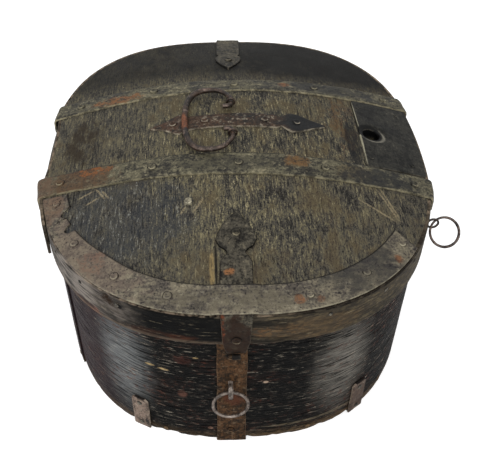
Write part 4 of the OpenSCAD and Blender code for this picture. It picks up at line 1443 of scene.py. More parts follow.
@dataclass
class Lid:
    """The domed board and its bent hoop.

    Attributes:
        finishes: the finishes.
        oval: the lid's outer plan and crown.
        board: the board's plan, inside the hoop.
        hoop: the hoop's thickness.
        board_thick: the board's thickness.
        low: height of the hoop's lower edge.
        lap_from: angle at which the hoop's outer layer starts.
        lap_to: angle at which its loose end stops.
        lap_rise: how far that layer stands out.
        lap_spring: how far its loose end springs off.
        lap_thick: that layer's thickness.
        coin: middle of the coin hole.
        coin_bore: radius of the hole through the board.
        dish_deep: depth of the worn dish round that hole.
        dish_from: distance from the hole's middle at which the dish starts.
        dish_to: distance at which it has its full depth.
        dent: how deep the old dent in the left edge is.
        dent_from: angle at which it starts.
        dent_span: how many degrees it spans.
        eaten: middle of the worm-eaten patch.
        eaten_reach: radius of that patch.
        scar: x and y of the middle of the split in the board.
        nails: angles of the hoop's nails.
        nail: diameter of their heads.
    """

    finishes: Finishes
    oval: Oval = field(init=False)
    board: Oval = field(init=False)
    hoop: float = 4.0
    board_thick: float = 16.0
    low: float = field(init=False)
    lap_from: float = 187.0
    lap_to: float = 203.5
    lap_rise: float = 2.4
    lap_spring: float = 1.6
    lap_thick: float = 3.0
    coin: tuple[float, float] = (152.0, 6.0)
    coin_bore: float = 9.6
    dish_deep: float = 2.6
    dish_from: float = 16.5
    dish_to: float = 10.5
    dent: float = 5.5
    dent_from: float = 167.5
    dent_span: float = 20.0
    eaten: tuple[float, float, float] = (-129.0, -207.0, 207.0)
    eaten_reach: float = 11.0
    scar: tuple[float, float] = (-34.0, -196.0)
    nails: tuple[float, ...] = (4, 30, 52, 74, 106, 128, 150, 212, 226, 240, 287, 305, 320)
    nail: float = 4.0

    def __post_init__(self) -> None:
        """Take the sizes from the frame."""
        low, high = box_mm("lid_hoop")
        _, crown = box_mm("lid_board")
        self.low = low[2]
        self.oval = Oval(high[0], high[1], high[2], crown[2] - high[2])
        self.board = Oval(high[0] - self.hoop, high[1] - self.hoop, high[2], crown[2] - high[2])

    def dish(self, x: Array, y: Array) -> Array:
        """Give how deep the dish round the coin hole is.

        Args:
            x: where to read it.
            y: where to read it.

        Returns:
            The depth in millimetres.
        """
        away = np.hypot((x - self.coin[0] - 2) / 1.15, y - self.coin[1] + 1)
        return self.dish_deep * smooth(away, self.dish_from, self.dish_to)

    def flattened(self, turn: Array) -> Array:
        """Give how far the old dent at the left takes the edge in."""
        share = np.clip((turn - self.dent_from) / self.dent_span, 0, 1)
        return self.dent * np.sin(math.pi * share) ** 0.8

    def build_board(self) -> None:
        """Build the crowned board with its dish, its coin hole and its weathered skin."""
        ticks = dense_ends(131, 1.15)
        s, t = np.meshgrid(ticks, ticks, indexing="ij")
        reach = np.maximum(np.abs(s), np.abs(t))
        flat = np.abs(s) >= np.abs(t)
        with np.errstate(divide="ignore", invalid="ignore"):
            side = np.where(s > 0, 45 * t / s, 180 + 45 * t / s)
            end = np.where(t > 0, 90 - 45 * s / t, 270 - 45 * s / t)
        turn = np.nan_to_num(np.where(flat, side, end))
        xy = reach[..., None] * self.board.rim(turn)
        x, y = xy[..., 0] + self.flattened(turn) * reach**6, xy[..., 1]
        top = self.oval.on_crown(x, y)
        marks = Ripple(111, 7, 12, (1, 7, 1)).at(top) * 0.13 + Ripple(112, 26).at(top) * 0.16
        scar = smooth(np.hypot((x - self.scar[0]) / 3.4, (y - self.scar[1]) / 22), 1.2, 0.7) * 0.9
        top[..., 2] += marks - scar - self.dish(x, y) - smooth(reach, 0.985, 1) * 0.5 - 0.15
        roof = np.where(reach > 0.94, self.oval.edge_z + self.oval.rise * 0.037 - self.board_thick,
                        self.oval.edge_z + self.oval.rise
                        * (1 - np.minimum(1, self.oval.share(x, y)) ** self.oval.crown_power)
                        - self.board_thick)
        bottom = np.stack([x, y, roof], -1)
        piece = Piece("crowned_board", Body.LID, ("lid_board",))
        piece.solid(top, bottom, np.zeros(top.shape[:2]))
        made = piece.make(self.finishes.lid, 45)
        through, height = 0.12, 0.225
        bpy.ops.mesh.primitive_cylinder_add(vertices=64, radius=self.coin_bore / MM, depth=through,
                                            location=(self.coin[0] / MM, self.coin[1] / MM, height))
        cutter = bpy.context.active_object
        cut = made.modifiers.new("coin_hole", "BOOLEAN")
        cut.operation = "DIFFERENCE"
        cut.solver = "EXACT"
        cut.object = cutter
        bpy.context.view_layer.update()
        whole = bpy.data.meshes.new_from_object(made.evaluated_get(bpy.context.evaluated_depsgraph_get()))
        made.modifiers.clear()
        made.data = whole
        bpy.data.objects.remove(cutter)

    def build_hoop(self) -> None:
        """Build the hoop and its loose outer lap."""
        degrees = np.arange(0, 360, 0.5)
        high = self.oval.edge_z
        heights = np.concatenate([[self.low, self.low + 0.5, self.low + 1.4],
                                  np.linspace(self.low + 3, high - 3, 20),
                                  [high - 1.3, high - 0.5, high - 0.1]])
        turn, z = np.meshgrid(degrees, heights, indexing="ij")
        points = self.oval.rim_at(turn, z)
        inset = np.minimum(z - self.low, high - z)
        sunk = 0.1 + Ripple(121, 50, 10, (3, 3, 1)).at(points) ** 2 * 0.2 + 0.8 * smooth(inset, 1.6, 0)
        crack = Ripple(122, 11, 12, (9, 9, 0.5)).at(points)
        sunk += 0.35 * smooth(crack, 0.8, 1.2)
        eaten = Ripple(123, 5).at(points)
        near = smooth(np.linalg.norm(points - np.array(self.eaten), axis=-1), self.eaten_reach, 4)
        sunk += near * np.clip(0.7 + eaten, 0, 1.6)
        nick = Ripple(124, 22).at(points * np.array([1, 1, 0])) * 0.5 + 0.5
        lifted = smooth(z, self.low + 5, self.low) * np.clip(nick, 0, 1) ** 3 * 1.6
        outer = self.oval.rim_at(turn, z + lifted, -sunk)
        inner = self.oval.rim_at(turn, z, -self.hoop)
        pushed = self.flattened(turn) * smooth(z, self.low + 26, high)
        outer[..., 0] += pushed
        inner[..., 0] += pushed
        piece = Piece("bent_hoop", Body.LID, ("lid_hoop",))
        piece.solid(outer, inner, np.exp(-inset / 1.8), True)
        turns = np.linspace(self.lap_from, self.lap_to, 90)
        lap_turn, lap_z = np.meshgrid(turns, heights, indexing="ij")
        spring = self.lap_spring * np.maximum(0, (lap_turn - 196) / 10)
        rise = self.lap_rise * np.minimum(1, 0.3 + (lap_turn - self.lap_from) / 8) + spring
        ragged = Ripple(125, 12).at(along_x(lap_z)) * 0.7
        end = smooth(lap_turn, 200, self.lap_to)
        trimmed = lap_turn - end * np.abs(ragged)
        inset = np.minimum(lap_z - self.low, high - lap_z)
        rounded = 0.7 * smooth(inset, 1.4, 0)
        outside = self.oval.rim_at(trimmed, lap_z, rise + 0.1 - rounded)
        inside = self.oval.rim_at(trimmed, lap_z, np.maximum(-1.5, rise - self.lap_thick))
        piece.solid(outside, inside, np.exp(-inset / 1.8))
        piece.make(self.finishes.hoop, 50)
        heads = Piece("hoop_nail_heads", Body.LID, ("lid_hoop_nails",))
        for i, angle in enumerate(self.nails):
            seat = np.append(self.oval.rim(angle), high - 9)
            heads.head(seat, self.oval.rim_normal(angle), self.nail, 130 + i, 0.2)
        heads.make(self.finishes.nails)

    def build(self) -> None:
        """Build the wooden lid."""
        self.build_board()
        self.build_hoop()


@dataclass
class LidIron:
    """Bands, plates and straps on the lid, with their rivets.

    Attributes:
        finishes: the finishes.
        lid: the wooden lid that they lie on.
        thick: thickness of the iron.
        hasp_x: x of the hasp strap at the edge.
        hinge_x: x of the hinge strap at the edge.
        drop: how far the bands reach down the hoop.
        rivet: diameter of the rivet heads.
        edge_rivet: diameter of those near the edge.
        spade_in: how far in from the edge the spades' rivets sit.
        coin_plate: lowest and highest y of the coin plate.
        nail: diameter of the coin plate's nail heads.
    """

    finishes: Finishes
    lid: Lid
    thick: float = 2.2
    hasp_x: float = -10.0
    hinge_x: float = -1.0
    drop: float = 19.0
    rivet: float = 9.0
    edge_rivet: float = 8.1
    spade_in: float = 86.0
    coin_plate: tuple[float, float] = (-54.8, 67.1)
    nail: float = 5.0

    def _crown_heads(self, piece: Piece, places: Sequence[tuple[float, float]], size: float, seed: int,
                     lift: float) -> None:
        """Set rivet heads on the crown.

        Args:
            piece: what they are added to.
            places: their x and y.
            size: their diameter.
            seed: seed of the first.
            lift: how far above the wood they sit.
        """
        for i, (x, y) in enumerate(places):
            normal = self.lid.oval.crown_normal(x, y)
            seat = np.array([x, y, float(self.lid.oval.crown(x, y))]) + normal * (lift - 0.1)
            piece.head(seat, normal, size, seed + i)

    def _band(self, node: str, middle: float, width: float, skew: float, left_out: float, seed: int,
              places: Sequence[float]) -> None:
        """Build a band across the crown with its ends bent down over the hoop.

        Args:
            node: the node that it stands for.
            middle: y of its middle.
            width: its width.
            skew: how far its right end comes forward or back.
            left_out: how far its left end stands off the hoop.
            seed: seed of its marks.
            places: its rivets, as shares of the lid's half width.
        """
        oval = self.lid.oval
        share = np.linspace(-0.985, 0.985, 150)
        across = dense_ends(17)
        wave = Ripple(seed, 34).at(along_x(share * 210)) * 0.45
        half = np.outer(width / 2 + wave, across)
        skewed = middle + half
        edge = oval.side_x(skewed + skew)
        x = share[:, None] * edge
        y = skewed + skew * x / oval.half_w
        grid = oval.on_crown(x, y)
        ends = []
        for side, out in ((-1, left_out), (1, 1.2)):
            start = grid[0] if side < 0 else grid[-1]
            y_end = middle + across * width / 2 + side * skew
            x_end = oval.side_x(y_end)
            far = np.stack([side * (x_end + out - 0.15), y_end, np.full(17, oval.edge_z - 4)], -1)
            corner = np.stack([side * (x_end + out * 0.75), y_end, np.full(17, oval.edge_z + 0.6)], -1)
            low = far.copy()
            low[:, 2] = oval.edge_z - self.drop
            rows = []
            for t in np.linspace(0, 1, 9)[1:]:
                rows.append(bent(start, corner, far, t))
            for t in np.linspace(0, 1, 9)[1:]:
                row = far * (1 - t) + low * t
                row[:, 2] += smooth(np.abs(across), 0.7, 1.0) * 2.2 * t
                rows.append(row)
            ends.append(np.array(rows))
        whole = np.concatenate([ends[0][::-1], grid, ends[1]])
        piece = Piece(f"{node}_iron", Body.LID, (node,))
        piece.plate(whole, self.thick, seed + 1, 0.26)
        piece.make(self.finishes.bands)
        heads = Piece(f"{node}_rivet_heads", Body.LID, (f"{node}_rivets",))
        spots = [(s * oval.half_w, middle + skew * s) for s in places]
        self._crown_heads(heads, spots, self.rivet, seed + 5, SEAT + self.thick)
        heads.make(self.finishes.bands)

    def build_bands(self) -> None:
        """Build the two bands."""
        self._band("front_band", -66, 29.4, -7.2, self.lid.lap_rise + 0.5, 201,
                   (-0.886, -0.424, -0.005, 0.424, 0.886))
        self._band("rear_band", 79, 26.4, 3.5, 1.2, 221, (-0.848, -0.438, 0.005, 0.452, 0.857))

    def _hump(self, x: Array) -> Array:
        """Give how far the crescent rises where the hasp strap runs under it."""
        return (self.thick + 0.2) * np.clip((24 - np.abs(x - self.hasp_x)) / 6, 0, 1)

    def build_crescent(self) -> None:
        """Build the crescent plate with its two bites and its rivets."""
        oval = self.lid.oval
        share = dense_ends(27) * 0.5 + 0.5
        start = 194.3 + 2.9 * share[None, :]
        turn = start + np.linspace(0, 1, 360)[:, None] * (322 - start)

        def bite(at: float, half: float, depth: float) -> Array:
            """Cut a round bite out of the inner edge."""
            return depth * np.sqrt(np.maximum(0, 1 - ((turn - at) / half) ** 2))

        inner = 0.872 + bite(204.5, 1.9, 0.05) + bite(210.9, 1.8, 0.04)
        inner = inner + np.where(turn > 206, np.maximum(0, 0.03 * (1 - (turn - 206) / 22)), 0)
        inner = inner + Ripple(241, 9).at(along_x(turn)) * 0.0012
        reach = 0.992 - (0.992 - inner) * share
        x, y = np.moveaxis(oval.rim(turn) * reach[..., None], -1, 0)
        grid = oval.on_crown(x, y)
        piece = Piece("front_edge_plate_iron", Body.LID, ("front_edge_plate",))
        piece.plate(grid, self.thick * 0.8, 242, 0.22, self._hump(x))
        piece.make(self.finishes.plate)
        heads = Piece("front_edge_rivet_heads", Body.LID, ("front_edge_rivets",))
        for i, (angle, out) in enumerate(((199, 0.93), (217, 0.93), (236, 0.93), (253, 0.935), (283, 0.935),
                                          (301.5, 0.925), (319, 0.93))):
            x0, y0 = oval.rim(angle) * out
            normal = oval.crown_normal(x0, y0)
            seat = np.array([x0, y0, float(oval.crown(x0, y0))])
            seat = seat + normal * (self.thick * 0.8 + float(self._hump(x0)))
            heads.head(seat, normal, self.edge_rivet, 250 + i)
        heads.make(self.finishes.plate)

    def build_handle_plate(self) -> None:
        """Build the handle plate, arrow-shaped at its left and teardrop-shaped at its right."""
        oval, middle = self.lid.oval, 2.0
        knots = np.array([[-94, 0.8], [-78, 7.1], [-66, 15.5], [-62, 17.6], [-58, 15.6],
                          [-52, 12], [-30, 11.4], [10, 12.2], [44, 11.7], [49, 8.4],
                          [54, 12.8], [60, 17], [68, 15.4], [82, 8], [99, 0.8]])
        x = np.linspace(-94, 99, 150)
        half = np.interp(x, knots[:, 0], knots[:, 1])
        grid_x = np.repeat(x[:, None], 17, 1)
        grid = oval.on_crown(grid_x, middle + np.outer(half, dense_ends(17)))
        piece = Piece("handle_plate_iron", Body.LID, ("handle_plate",))
        piece.plate(grid, self.thick, 261, 0.16)
        piece.make(self.finishes.handle_plate)
        heads = Piece("handle_plate_rivet_heads", Body.LID, ("handle_plate_rivets",))
        spots = [(v, middle) for v in (-68.5, -34, 31, 66)]
        self._crown_heads(heads, spots, self.rivet, 265, SEAT + self.thick)
        heads.make(self.finishes.handle_plate)

    def build_coin_plate(self) -> None:
        """Build the coin plate, dished round its hole."""
        oval, lid = self.lid.oval, self.lid
        (low_y, high_y), left = self.coin_plate, lid.coin[0] - 15
        turn = whole_turn(144)
        away = np.stack([np.cos(turn), np.sin(turn)], -1)
        rim = np.array(lid.coin) + away * (lid.coin_bore + 0.4)
        far = np.zeros_like(rim)
        for i, direction in enumerate(away):
            reach = np.linspace(10, 120, 500)
            px, py = (np.array(lid.coin)[:, None] + direction[:, None] * reach)
            inside = (px > left) & (py > low_y) & (py < high_y)
            inside &= px < 0.985 * oval.side_x(np.clip(py, low_y, high_y))
            far[i] = [px[inside][-1], py[inside][-1]]
        share = dense_ends(41) * 0.5 + 0.5
        xy = rim[:, None] * (1 - share[None, :, None]) + far[:, None] * share[None, :, None]
        grid = oval.on_crown(xy[..., 0], xy[..., 1])
        grid[..., 2] -= lid.dish(xy[..., 0], xy[..., 1])
        piece = Piece("coin_plate_iron", Body.LID, ("coin_plate",))
        piece.plate(grid[::-1], self.thick * 0.7, 271, 0.1, 0.0, True)
        piece.make(self.finishes.coin)
        heads = Piece("coin_plate_nail_heads", Body.LID, ("coin_plate_nails",))
        rows = (low_y + 14, high_y - 14)
        spots = [(left + 7, v) for v in rows] + [(float(oval.side_x(v)) - 18, v) for v in rows]
        self._crown_heads(heads, spots, self.nail, 275, SEAT + self.thick * 0.7)
        heads.make(self.finishes.coin)

    def _strap(self, side: int, middle: float, lean: float, outline: Sequence[tuple[float, float]],
               tail: Sequence[tuple[float, float]]) -> Array:
        """Lay a spade-headed strap over the lid's edge.

        Args:
            side: -1 for the front, 1 for the rear.
            middle: x of its middle at the edge.
            lean: how far the spade's tip lies to the right for each millimetre in from the edge.
            outline: distance in from the edge and half width.
            tail: height and half width of the part that hangs over the hoop.

        Returns:
            The grid of surface points, from the spade's tip to the tail's end.
        """
        oval = self.lid.oval
        knots = np.array(outline, float)
        inward = np.linspace(knots[-1, 0], 6, 110)
        half = np.interp(inward, knots[:, 0], knots[:, 1])
        across = dense_ends(17)
        edge = np.interp(6, knots[:, 0], knots[:, 1])
        x = middle + inward[:, None] * lean + np.outer(half, across)
        y = np.broadcast_to((side * (oval.half_d - inward))[:, None], x.shape)
        over = oval.on_crown(x, y)
        drops = np.array(tail, float)
        zs = np.linspace(drops[0, 0], drops[-1, 0], 30)
        widths = np.interp(zs[::-1], drops[::-1, 0], drops[::-1, 1])[::-1]
        down_x = middle + np.outer(widths, across)
        down = np.stack([down_x, oval.end_y(down_x, side, 0.15),
                         np.broadcast_to(zs[:, None], down_x.shape)], -1)
        bend_x = middle + across * edge
        corner = np.stack([bend_x, oval.end_y(bend_x, side), np.full(17, oval.edge_z + 0.7)], -1)
        bend = np.array([bent(over[-1], corner, down[0], t) for t in np.linspace(0, 1, 9)[1:-1]])
        return np.concatenate([over, bend, down])

    def build_hasp(self) -> None:
        """Build the hasp strap with its spade head, tapered tongue and broken knuckle."""
        low, high = self.lid.low, self.lid.oval.edge_z
        outline = [(0, 15.5), (54, 15.5), (60, 12.5), (63, 9.3), (65, 8.8), (68, 11),
                   (72, 16.5), (79, 20), (88, 17.6), (98, 11.5), (106, 5.4), (113, 0.5)]
        tail = [(high - 4, 14.4), (low + 5, 13.0), (low - 5, 10.8), (low - 10.5, 8.6)]
        grid = self._strap(-1, self.hasp_x, 1 / 28, outline, tail)
        piece = Piece("hasp_strap_iron", Body.LID, ("hasp_strap",))
        piece.plate(grid, self.thick, 281, 0.24)
        y = float(self.lid.oval.end_y(self.hasp_x, -1)) - 3.9
        path = np.array([(self.hasp_x - 4 + i, y, low - 13) for i in range(9)], float)
        piece.rod(path, np.full(9, 2.8), (0, 0, 1), 16, 1.0, 283, 0.12, False, -0.7)
        piece.make(self.finishes.hasp)
        heads = Piece("hasp_strap_rivet_heads", Body.LID, ("hasp_strap_rivets",))
        spade = (self.hasp_x + 3, self.spade_in - self.lid.oval.half_d)
        self._crown_heads(heads, [spade], self.rivet, 285, SEAT + self.thick)
        face = float(self.lid.oval.end_y(self.hasp_x, -1)) - self.thick - SEAT
        heads.head(np.array([self.hasp_x, face, low + 10]), FRONT, self.rivet, 287)
        heads.make(self.finishes.hasp)

    def build_hinge(self) -> None:
        """Build the hinge strap over the rear edge, with its knuckle."""
        high = self.lid.oval.edge_z
        knuckle_z, knuckle_r = self.lid.low + 2, 5.2
        outline = [(0, 15), (54, 15), (64, 14.5), (69, 12.5), (74, 15.5),
                   (80, 16.5), (88, 15), (98, 10.5), (106, 5), (112, 0.5)]
        tail = [(high - 4, 15), (knuckle_z + knuckle_r + 0.4, 15)]
        grid = self._strap(1, self.hinge_x, -1 / 37, outline, tail)
        piece = Piece("hinge_strap_iron", Body.LID, ("hinge_strap",))
        piece.plate(grid[:, ::-1], self.thick, 291, 0.24)
        y = self.lid.oval.half_d + 0.3 + knuckle_r
        half, bore = 5.5, 2.6
        turn = whole_turn(32)
        rings = []
        for x, r in ((-half, bore), (-half, knuckle_r - 0.4), (-half + 0.4, knuckle_r),
                     (half - 0.4, knuckle_r), (half, knuckle_r - 0.4), (half, bore)):
            across = np.full(32, self.hinge_x + x)
            rings.append(np.stack([across, y + np.cos(turn) * r, knuckle_z + np.sin(turn) * r], -1))
        faces = []
        for a, n, b, k in ring_faces(len(rings), 32, True):
            faces.append([a, k, b, n])
        piece.add(np.array(rings), faces, 0.3)
        leaf_z = np.linspace(knuckle_z, knuckle_z + knuckle_r + 3, 8)
        leaf_x = self.hinge_x + dense_ends(9) * half
        leaf = np.stack([np.broadcast_to(leaf_x, (8, 9)), np.full((8, 9), self.lid.oval.half_d + 0.05),
                         np.broadcast_to(leaf_z[:, None], (8, 9))], -1)
        piece.plate(leaf, self.thick, 293, 0.05)
        piece.make(self.finishes.hasp)
        heads = Piece("hinge_strap_rivet_heads", Body.LID, ("hinge_strap_rivets",))
        spade = (self.hinge_x - 2, self.lid.oval.half_d - self.spade_in)
        self._crown_heads(heads, [spade], self.rivet, 295, SEAT + self.thick)
        seat = np.array([self.hinge_x, self.lid.oval.half_d + self.thick + SEAT, high - 15])
        heads.head(seat, BACK, self.edge_rivet, 297)
        heads.make(self.finishes.hasp)

    def build_stray_nail(self) -> None:
        """Build the pale repair nail in the crown."""
        oval = self.lid.oval
        piece = Piece("repair_nail_head", Body.LID, ("repair_nail",))
        self._crown_heads(piece, [(-oval.half_w / 4, -oval.half_d * 0.47)], self.rivet, 299, 0.1)
        piece.make(self.finishes.bright)

    def build(self) -> None:
        """Build all the iron on the lid but its handle and rings."""
        self.build_bands()
        self.build_crescent()
        self.build_handle_plate()
        self.build_coin_plate()
        self.build_hasp()
        self.build_hinge()
        self.build_stray_nail()


@dataclass
class Fittings:
    """The carrying handle, its eyes, the two rings and the rim eye.

    Attributes:
        finishes: the finishes.
        lid: the wooden lid.
        handle_x: x of the handle's pivot line.
        handle_y: y of its middle.
        reach: how far its bar lies from the pivot line.
        half: half its length.
        pitch: distance between its eyes.
        bar: diameter of its grip.
        end: diameter of its ends.
        ring_wire: radius of both rings' wire.
        eye: radius of the handle's eyes, to the middle of their wire.
        eye_over: how far these eyes reach above the pivot line.
        rim_eye: radius of the eye in the hoop, to the middle of its wire.
        eye_wire: radius of the eyes' wire.
    """

    finishes: Finishes
    lid: Lid
    handle_x: float = -5.0
    handle_y: float = 2.0
    reach: float = 51.0
    half: float = 54.0
    pitch: float = 56.5
    bar: float = 7.0
    end: float = 5.2
    ring_wire: float = 1.6
    eye: float = 4.3
    eye_over: float = 5.6
    rim_eye: float = 6.0
    eye_wire: float = 1.25

    def _pivot_z(self) -> float:
        """Give the height of the handle's pivot line."""
        _, high = box_mm("handle_eye_front")
        return high[2] - self.eye_over

    def build_handle(self) -> None:
        """Build the handle, flattened in its grip, its ends hooked in through the eyes."""
        node_low, _ = box_mm("carrying_handle")
        origin = joint_place("handle_pivot")
        oval_half = (self.reach + 3) / 2
        end = self.pitch / 2
        start = math.degrees(math.asin(((end + 14) / self.half) ** 1.3))
        turn = np.radians(np.linspace(start, 360 - start, 100))

        def spow(v: Array) -> Array:
            """Square off a sine or cosine."""
            return np.sign(v) * np.abs(v) ** 0.77

        bow = np.stack([3 - oval_half + oval_half * spow(np.cos(turn)),
                        self.half * spow(np.sin(turn)), turn * 0], -1)
        hook = [[-9, end - 7.6, 0], [-4, end - 7.4, 0], [-1, end - 5.6, 0],
                [0, end - 2.5, 0], [0, end + 3, 0], [-0.4, end + 8, 0]]
        rear = curve_through(hook + [list(bow[0])], 6)[:-1]
        front = rear[::-1] * np.array([1, -1, 1])
        path = np.concatenate([rear, bow, front])
        swell = np.clip(-path[:, 0] / self.reach * 1.15, 0, 1)
        radius = (self.end + (self.bar - self.end) * swell) / 2 * 0.97
        lean = math.atan2(node_low[2] + self.bar / 2 - origin[2], self.reach)
        cosine, sine = math.cos(lean), math.sin(lean)
        turned = path @ np.array([[cosine, 0, -sine], [0, 1, 0], [sine, 0, cosine]])
        piece = Piece("handle_bow", Body.HANDLE, ("carrying_handle",))
        piece.rod(origin + turned, radius, (0, 0, 1), 18, 0.95, 301, 0.05)
        piece.make(self.finishes.handle, 60)

    def build_eyes(self) -> None:
        """Build the two handle eyes as bent split pins."""
        for i, (node, side) in enumerate((("handle_eye_front", -1), ("handle_eye_rear", 1))):
            y = self.handle_y + side * self.pitch / 2
            centre = np.array([self.handle_x, y, self._pivot_z()])
            ring = centre + flat_ring(48, self.eye)
            piece = Piece(f"{node}_wire", Body.LID, (node,))
            piece.rod(ring, np.full(48, self.eye_wire), (0, 1, 0), 12, 1.05, 310 + i, 0.08, True)
            shank = np.array([centre + (0, 0, -4.0), centre + (0, 0, -7.5), centre + (0, 0, -12.0)])
            piece.rod(shank, np.full(3, 1.8), (0, 1, 0), 12)
            piece.make(self.finishes.handle, 60)

    def build_front_ring(self) -> None:
        """Build the ring that hangs from the staple."""
        pivot = joint_place("front_ring_swing")
        self._ring("front_ring_wire", Body.FRONT_RING, "front_ring", pivot, 39.0, 270.0, math.radians(8.0),
                   self.finishes.worn, 0.0)

    def build_side_ring(self) -> None:
        """Build the ring that hangs at the right of the rim."""
        pivot = joint_place("side_ring_swing")
        self._ring("side_ring_wire", Body.SIDE_RING, "side_ring", pivot, 35.5, -38.0, math.radians(46.0),
                   self.finishes.wire, 0.18)

    def _ring(self, name: str, body: Body, node: str, pivot: Array, outer: float, hang: float, lean: float,
              material: bpy.types.Material, swell: float) -> None:
        """Build a hanging ring.

        Args:
            name: the piece's name.
            body: what it rides on.
            node: the node that it stands for.
            pivot: where its eye holds it.
            outer: its outer diameter.
            hang: direction from the eye to its middle, in degrees from +X towards +Z before it leans.
            lean: how far its plane leans back about the X axis, in radians.
            material: its finish.
            swell: how much thinner its wire is at the eye.
        """
        radius = outer / 2 - self.ring_wire
        away = np.array([math.cos(math.radians(hang)), 0, math.sin(math.radians(hang))]) * radius
        turn = whole_turn(96)
        flat = away + flat_ring(96, radius)
        cosine, sine = math.cos(lean), math.sin(lean)
        spin = np.array([[1, 0, 0], [0, cosine, -sine], [0, sine, cosine]])
        path = flat @ spin + pivot
        across = BACK @ spin
        thick = self.ring_wire * (1 - swell * (0.5 + 0.5 * np.cos(turn - math.radians(hang + 180))))
        piece = Piece(name, body, (node,))
        piece.rod(path, thick, across, 14, 1.0, 320, 0.06, True)
        piece.make(material, 60)

    def build_rim_eye(self) -> None:
        """Build the eye in the hoop that holds the side ring."""
        low, high = box_mm("rim_eye")
        centre = np.array([high[0] - 7.3, (low[1] + high[1]) / 2, (low[2] + high[2]) / 2])
        ring = centre + flat_ring(48, self.rim_eye)
        piece = Piece("rim_eye_wire", Body.LID, ("rim_eye",))
        piece.rod(ring, np.full(48, self.eye_wire), (0, 1, 0), 12, 1.0, 330, 0.08, True)
        shank = np.array([centre + (-6.2, 0, 0), centre + (-9, 0, 0), centre + (-12.4, 0, 0)])
        piece.rod(shank, np.full(3, 1.65), (0, 1, 0), 12)
        piece.make(self.finishes.wire, 60)

    def build(self) -> None:
        """Build the handle, eyes and rings."""
        self.build_handle()
        self.build_eyes()
        self.build_front_ring()
        self.build_side_ring()
        self.build_rim_eye()


# ---------------------------------------------------------------- studio


@dataclass(frozen=True)
class Lamp:
    """A soft lamp.

    Attributes:
        name: its name.
        place: where it stands, in metres.
        size: its diameter in metres.
        power: its power in watts.
    """

    name: str
    place: tuple[float, float, float]
    size: float
    power: float

    def build(self, aim: Vector) -> None:
        """Make the lamp and point it.

        Args:
            aim: where it points.
        """
        data = bpy.data.lights.new(self.name, "AREA")
        data.shape = "DISK"
        data.size = self.size
        data.energy = self.power
        made = bpy.data.objects.new(self.name, data)
        made.location = self.place
        made.rotation_euler = (aim - Vector(self.place)).to_track_quat("-Z", "Y").to_euler()
        bpy.context.scene.collection.objects.link(made)


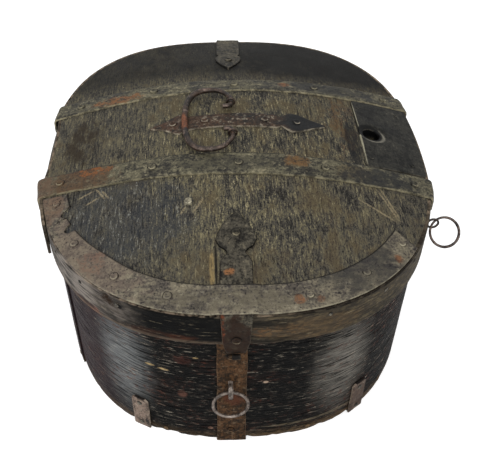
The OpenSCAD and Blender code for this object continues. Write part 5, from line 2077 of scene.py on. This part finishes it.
@dataclass(frozen=True)
class Studio:
    """Pale floor, white surroundings, lamps and the camera.

    Attributes:
        elevation: how far the camera looks down, in degrees.
        yaw: its turn to the right.
        roll: its roll.
        distance: from the aim to the camera, in metres.
        lens: focal length in millimetres for a sensor 36 mm wide.
        aside: how far the aim lies right of the view's middle.
        above: how far it lies above it.
        aim: the point that the camera is set by.
        ambient: strength of the surroundings as a light.
        floor_half: half the floor's side, in metres.
        floor_grey: how pale the floor is.
        floor_glow: how much it glows to the camera.
        lit: the point that the lamps face.
        lamps: the lamps.
    """

    elevation: float = 44.2653
    yaw: float = 4.562
    roll: float = 1.7783
    distance: float = 0.8364
    lens: float = 53.594
    aside: float = -0.01575
    above: float = 0.09259
    aim: tuple[float, float, float] = (0.0, 0.0, 0.21424)
    ambient: float = 0.55
    floor_half: float = 6.0
    floor_grey: float = 0.8
    floor_glow: float = 0.42
    lit: tuple[float, float, float] = (0.0, 0.0, 0.16)
    lamps: tuple[Lamp, ...] = (Lamp("key", (0.35, -1.5, 1.7), 1.0, 26),
                               Lamp("left", (-1.5, -0.55, 0.55), 1.0, 13),
                               Lamp("top", (-0.2, 0.7, 2.0), 1.6, 12))

    def build_camera(self) -> None:
        """Place the camera."""
        e, a, r = (math.radians(v) for v in (self.elevation, self.yaw, self.roll))
        forward = Vector((math.sin(a) * math.cos(e), math.cos(a) * math.cos(e), -math.sin(e)))
        right = Vector((math.cos(a), -math.sin(a), 0))
        up = right.cross(forward)
        turned_right = right * math.cos(r) + up * math.sin(r)
        turned_up = up * math.cos(r) - right * math.sin(r)
        place = Vector(self.aim) - forward * self.distance
        place -= turned_right * self.aside + turned_up * self.above
        data = bpy.data.cameras.new("camera")
        data.sensor_width = 36
        data.lens = self.lens
        made = bpy.data.objects.new("camera", data)
        columns = Matrix((turned_right, turned_up, -forward)).transposed()
        made.matrix_world = Matrix.Translation(place) @ columns.to_4x4()
        bpy.context.scene.collection.objects.link(made)
        bpy.context.scene.camera = made

    def build_world(self) -> None:
        """Make the surroundings white to look at and plain as a light."""
        world = bpy.data.worlds.new("surroundings")
        bpy.context.scene.world = world
        world.use_nodes = True
        nodes, links = world.node_tree.nodes, world.node_tree.links
        nodes.clear()
        path = nodes.new("ShaderNodeLightPath")
        rays = path.outputs["Is Camera Ray"]
        for kind in ("Is Transmission Ray", "Is Glossy Ray"):
            either = nodes.new("ShaderNodeMath")
            either.operation = "MAXIMUM"
            links.new(rays, either.inputs[0])
            links.new(path.outputs[kind], either.inputs[1])
            rays = either.outputs[0]
        level = nodes.new("ShaderNodeMapRange")
        level.inputs["To Min"].default_value = self.ambient
        level.inputs["To Max"].default_value = 1.0
        links.new(rays, level.inputs["Value"])
        background = nodes.new("ShaderNodeBackground")
        background.inputs["Color"].default_value = (1, 1, 1, 1)
        links.new(level.outputs[0], background.inputs["Strength"])
        output = nodes.new("ShaderNodeOutputWorld")
        links.new(background.outputs[0], output.inputs[0])

    def build_floor(self) -> None:
        """Lay the pale floor, which keeps the box's shadow."""
        half = self.floor_half
        mesh = bpy.data.meshes.new("floor")
        mesh.from_pydata([(-half, -half, 0), (half, -half, 0), (half, half, 0), (-half, half, 0)],
                         [], [(0, 1, 2, 3)])
        floor = bpy.data.objects.new("floor", mesh)
        bpy.context.scene.collection.objects.link(floor)
        material = bpy.data.materials.new("pale_floor")
        material.use_nodes = True
        nodes, links = material.node_tree.nodes, material.node_tree.links
        nodes.clear()
        path = nodes.new("ShaderNodeLightPath")
        paint = nodes.new("ShaderNodeBsdfDiffuse")
        paint.inputs["Color"].default_value = (self.floor_grey, self.floor_grey, self.floor_grey, 1)
        glow = nodes.new("ShaderNodeEmission")
        glow.inputs["Color"].default_value = (1, 1, 1, 1)
        glow.inputs["Strength"].default_value = self.floor_glow
        both = nodes.new("ShaderNodeAddShader")
        links.new(paint.outputs[0], both.inputs[0])
        links.new(glow.outputs[0], both.inputs[1])
        mixed = nodes.new("ShaderNodeMixShader")
        links.new(path.outputs["Is Camera Ray"], mixed.inputs[0])
        links.new(paint.outputs[0], mixed.inputs[1])
        links.new(both.outputs[0], mixed.inputs[2])
        output = nodes.new("ShaderNodeOutputMaterial")
        links.new(mixed.outputs[0], output.inputs[0])
        mesh.materials.append(material)

    def build(self) -> None:
        """Build the studio."""
        scene = bpy.context.scene
        scene.view_settings.view_transform = "Standard"
        self.build_camera()
        self.build_world()
        self.build_floor()
        for lamp in self.lamps:
            lamp.build(Vector(self.lit))


def main() -> None:
    """Build the box and its studio in order."""
    logging.basicConfig(level=logging.INFO, format="%(message)s")
    finishes = Finishes()
    case = Case(finishes)
    case.build()
    CaseIron(finishes, case.oval).build()
    lid = Lid(finishes)
    lid.build()
    LidIron(finishes, lid).build()
    Fittings(finishes, lid).build()
    Studio().build()


if __name__ == "__main__":
    main()
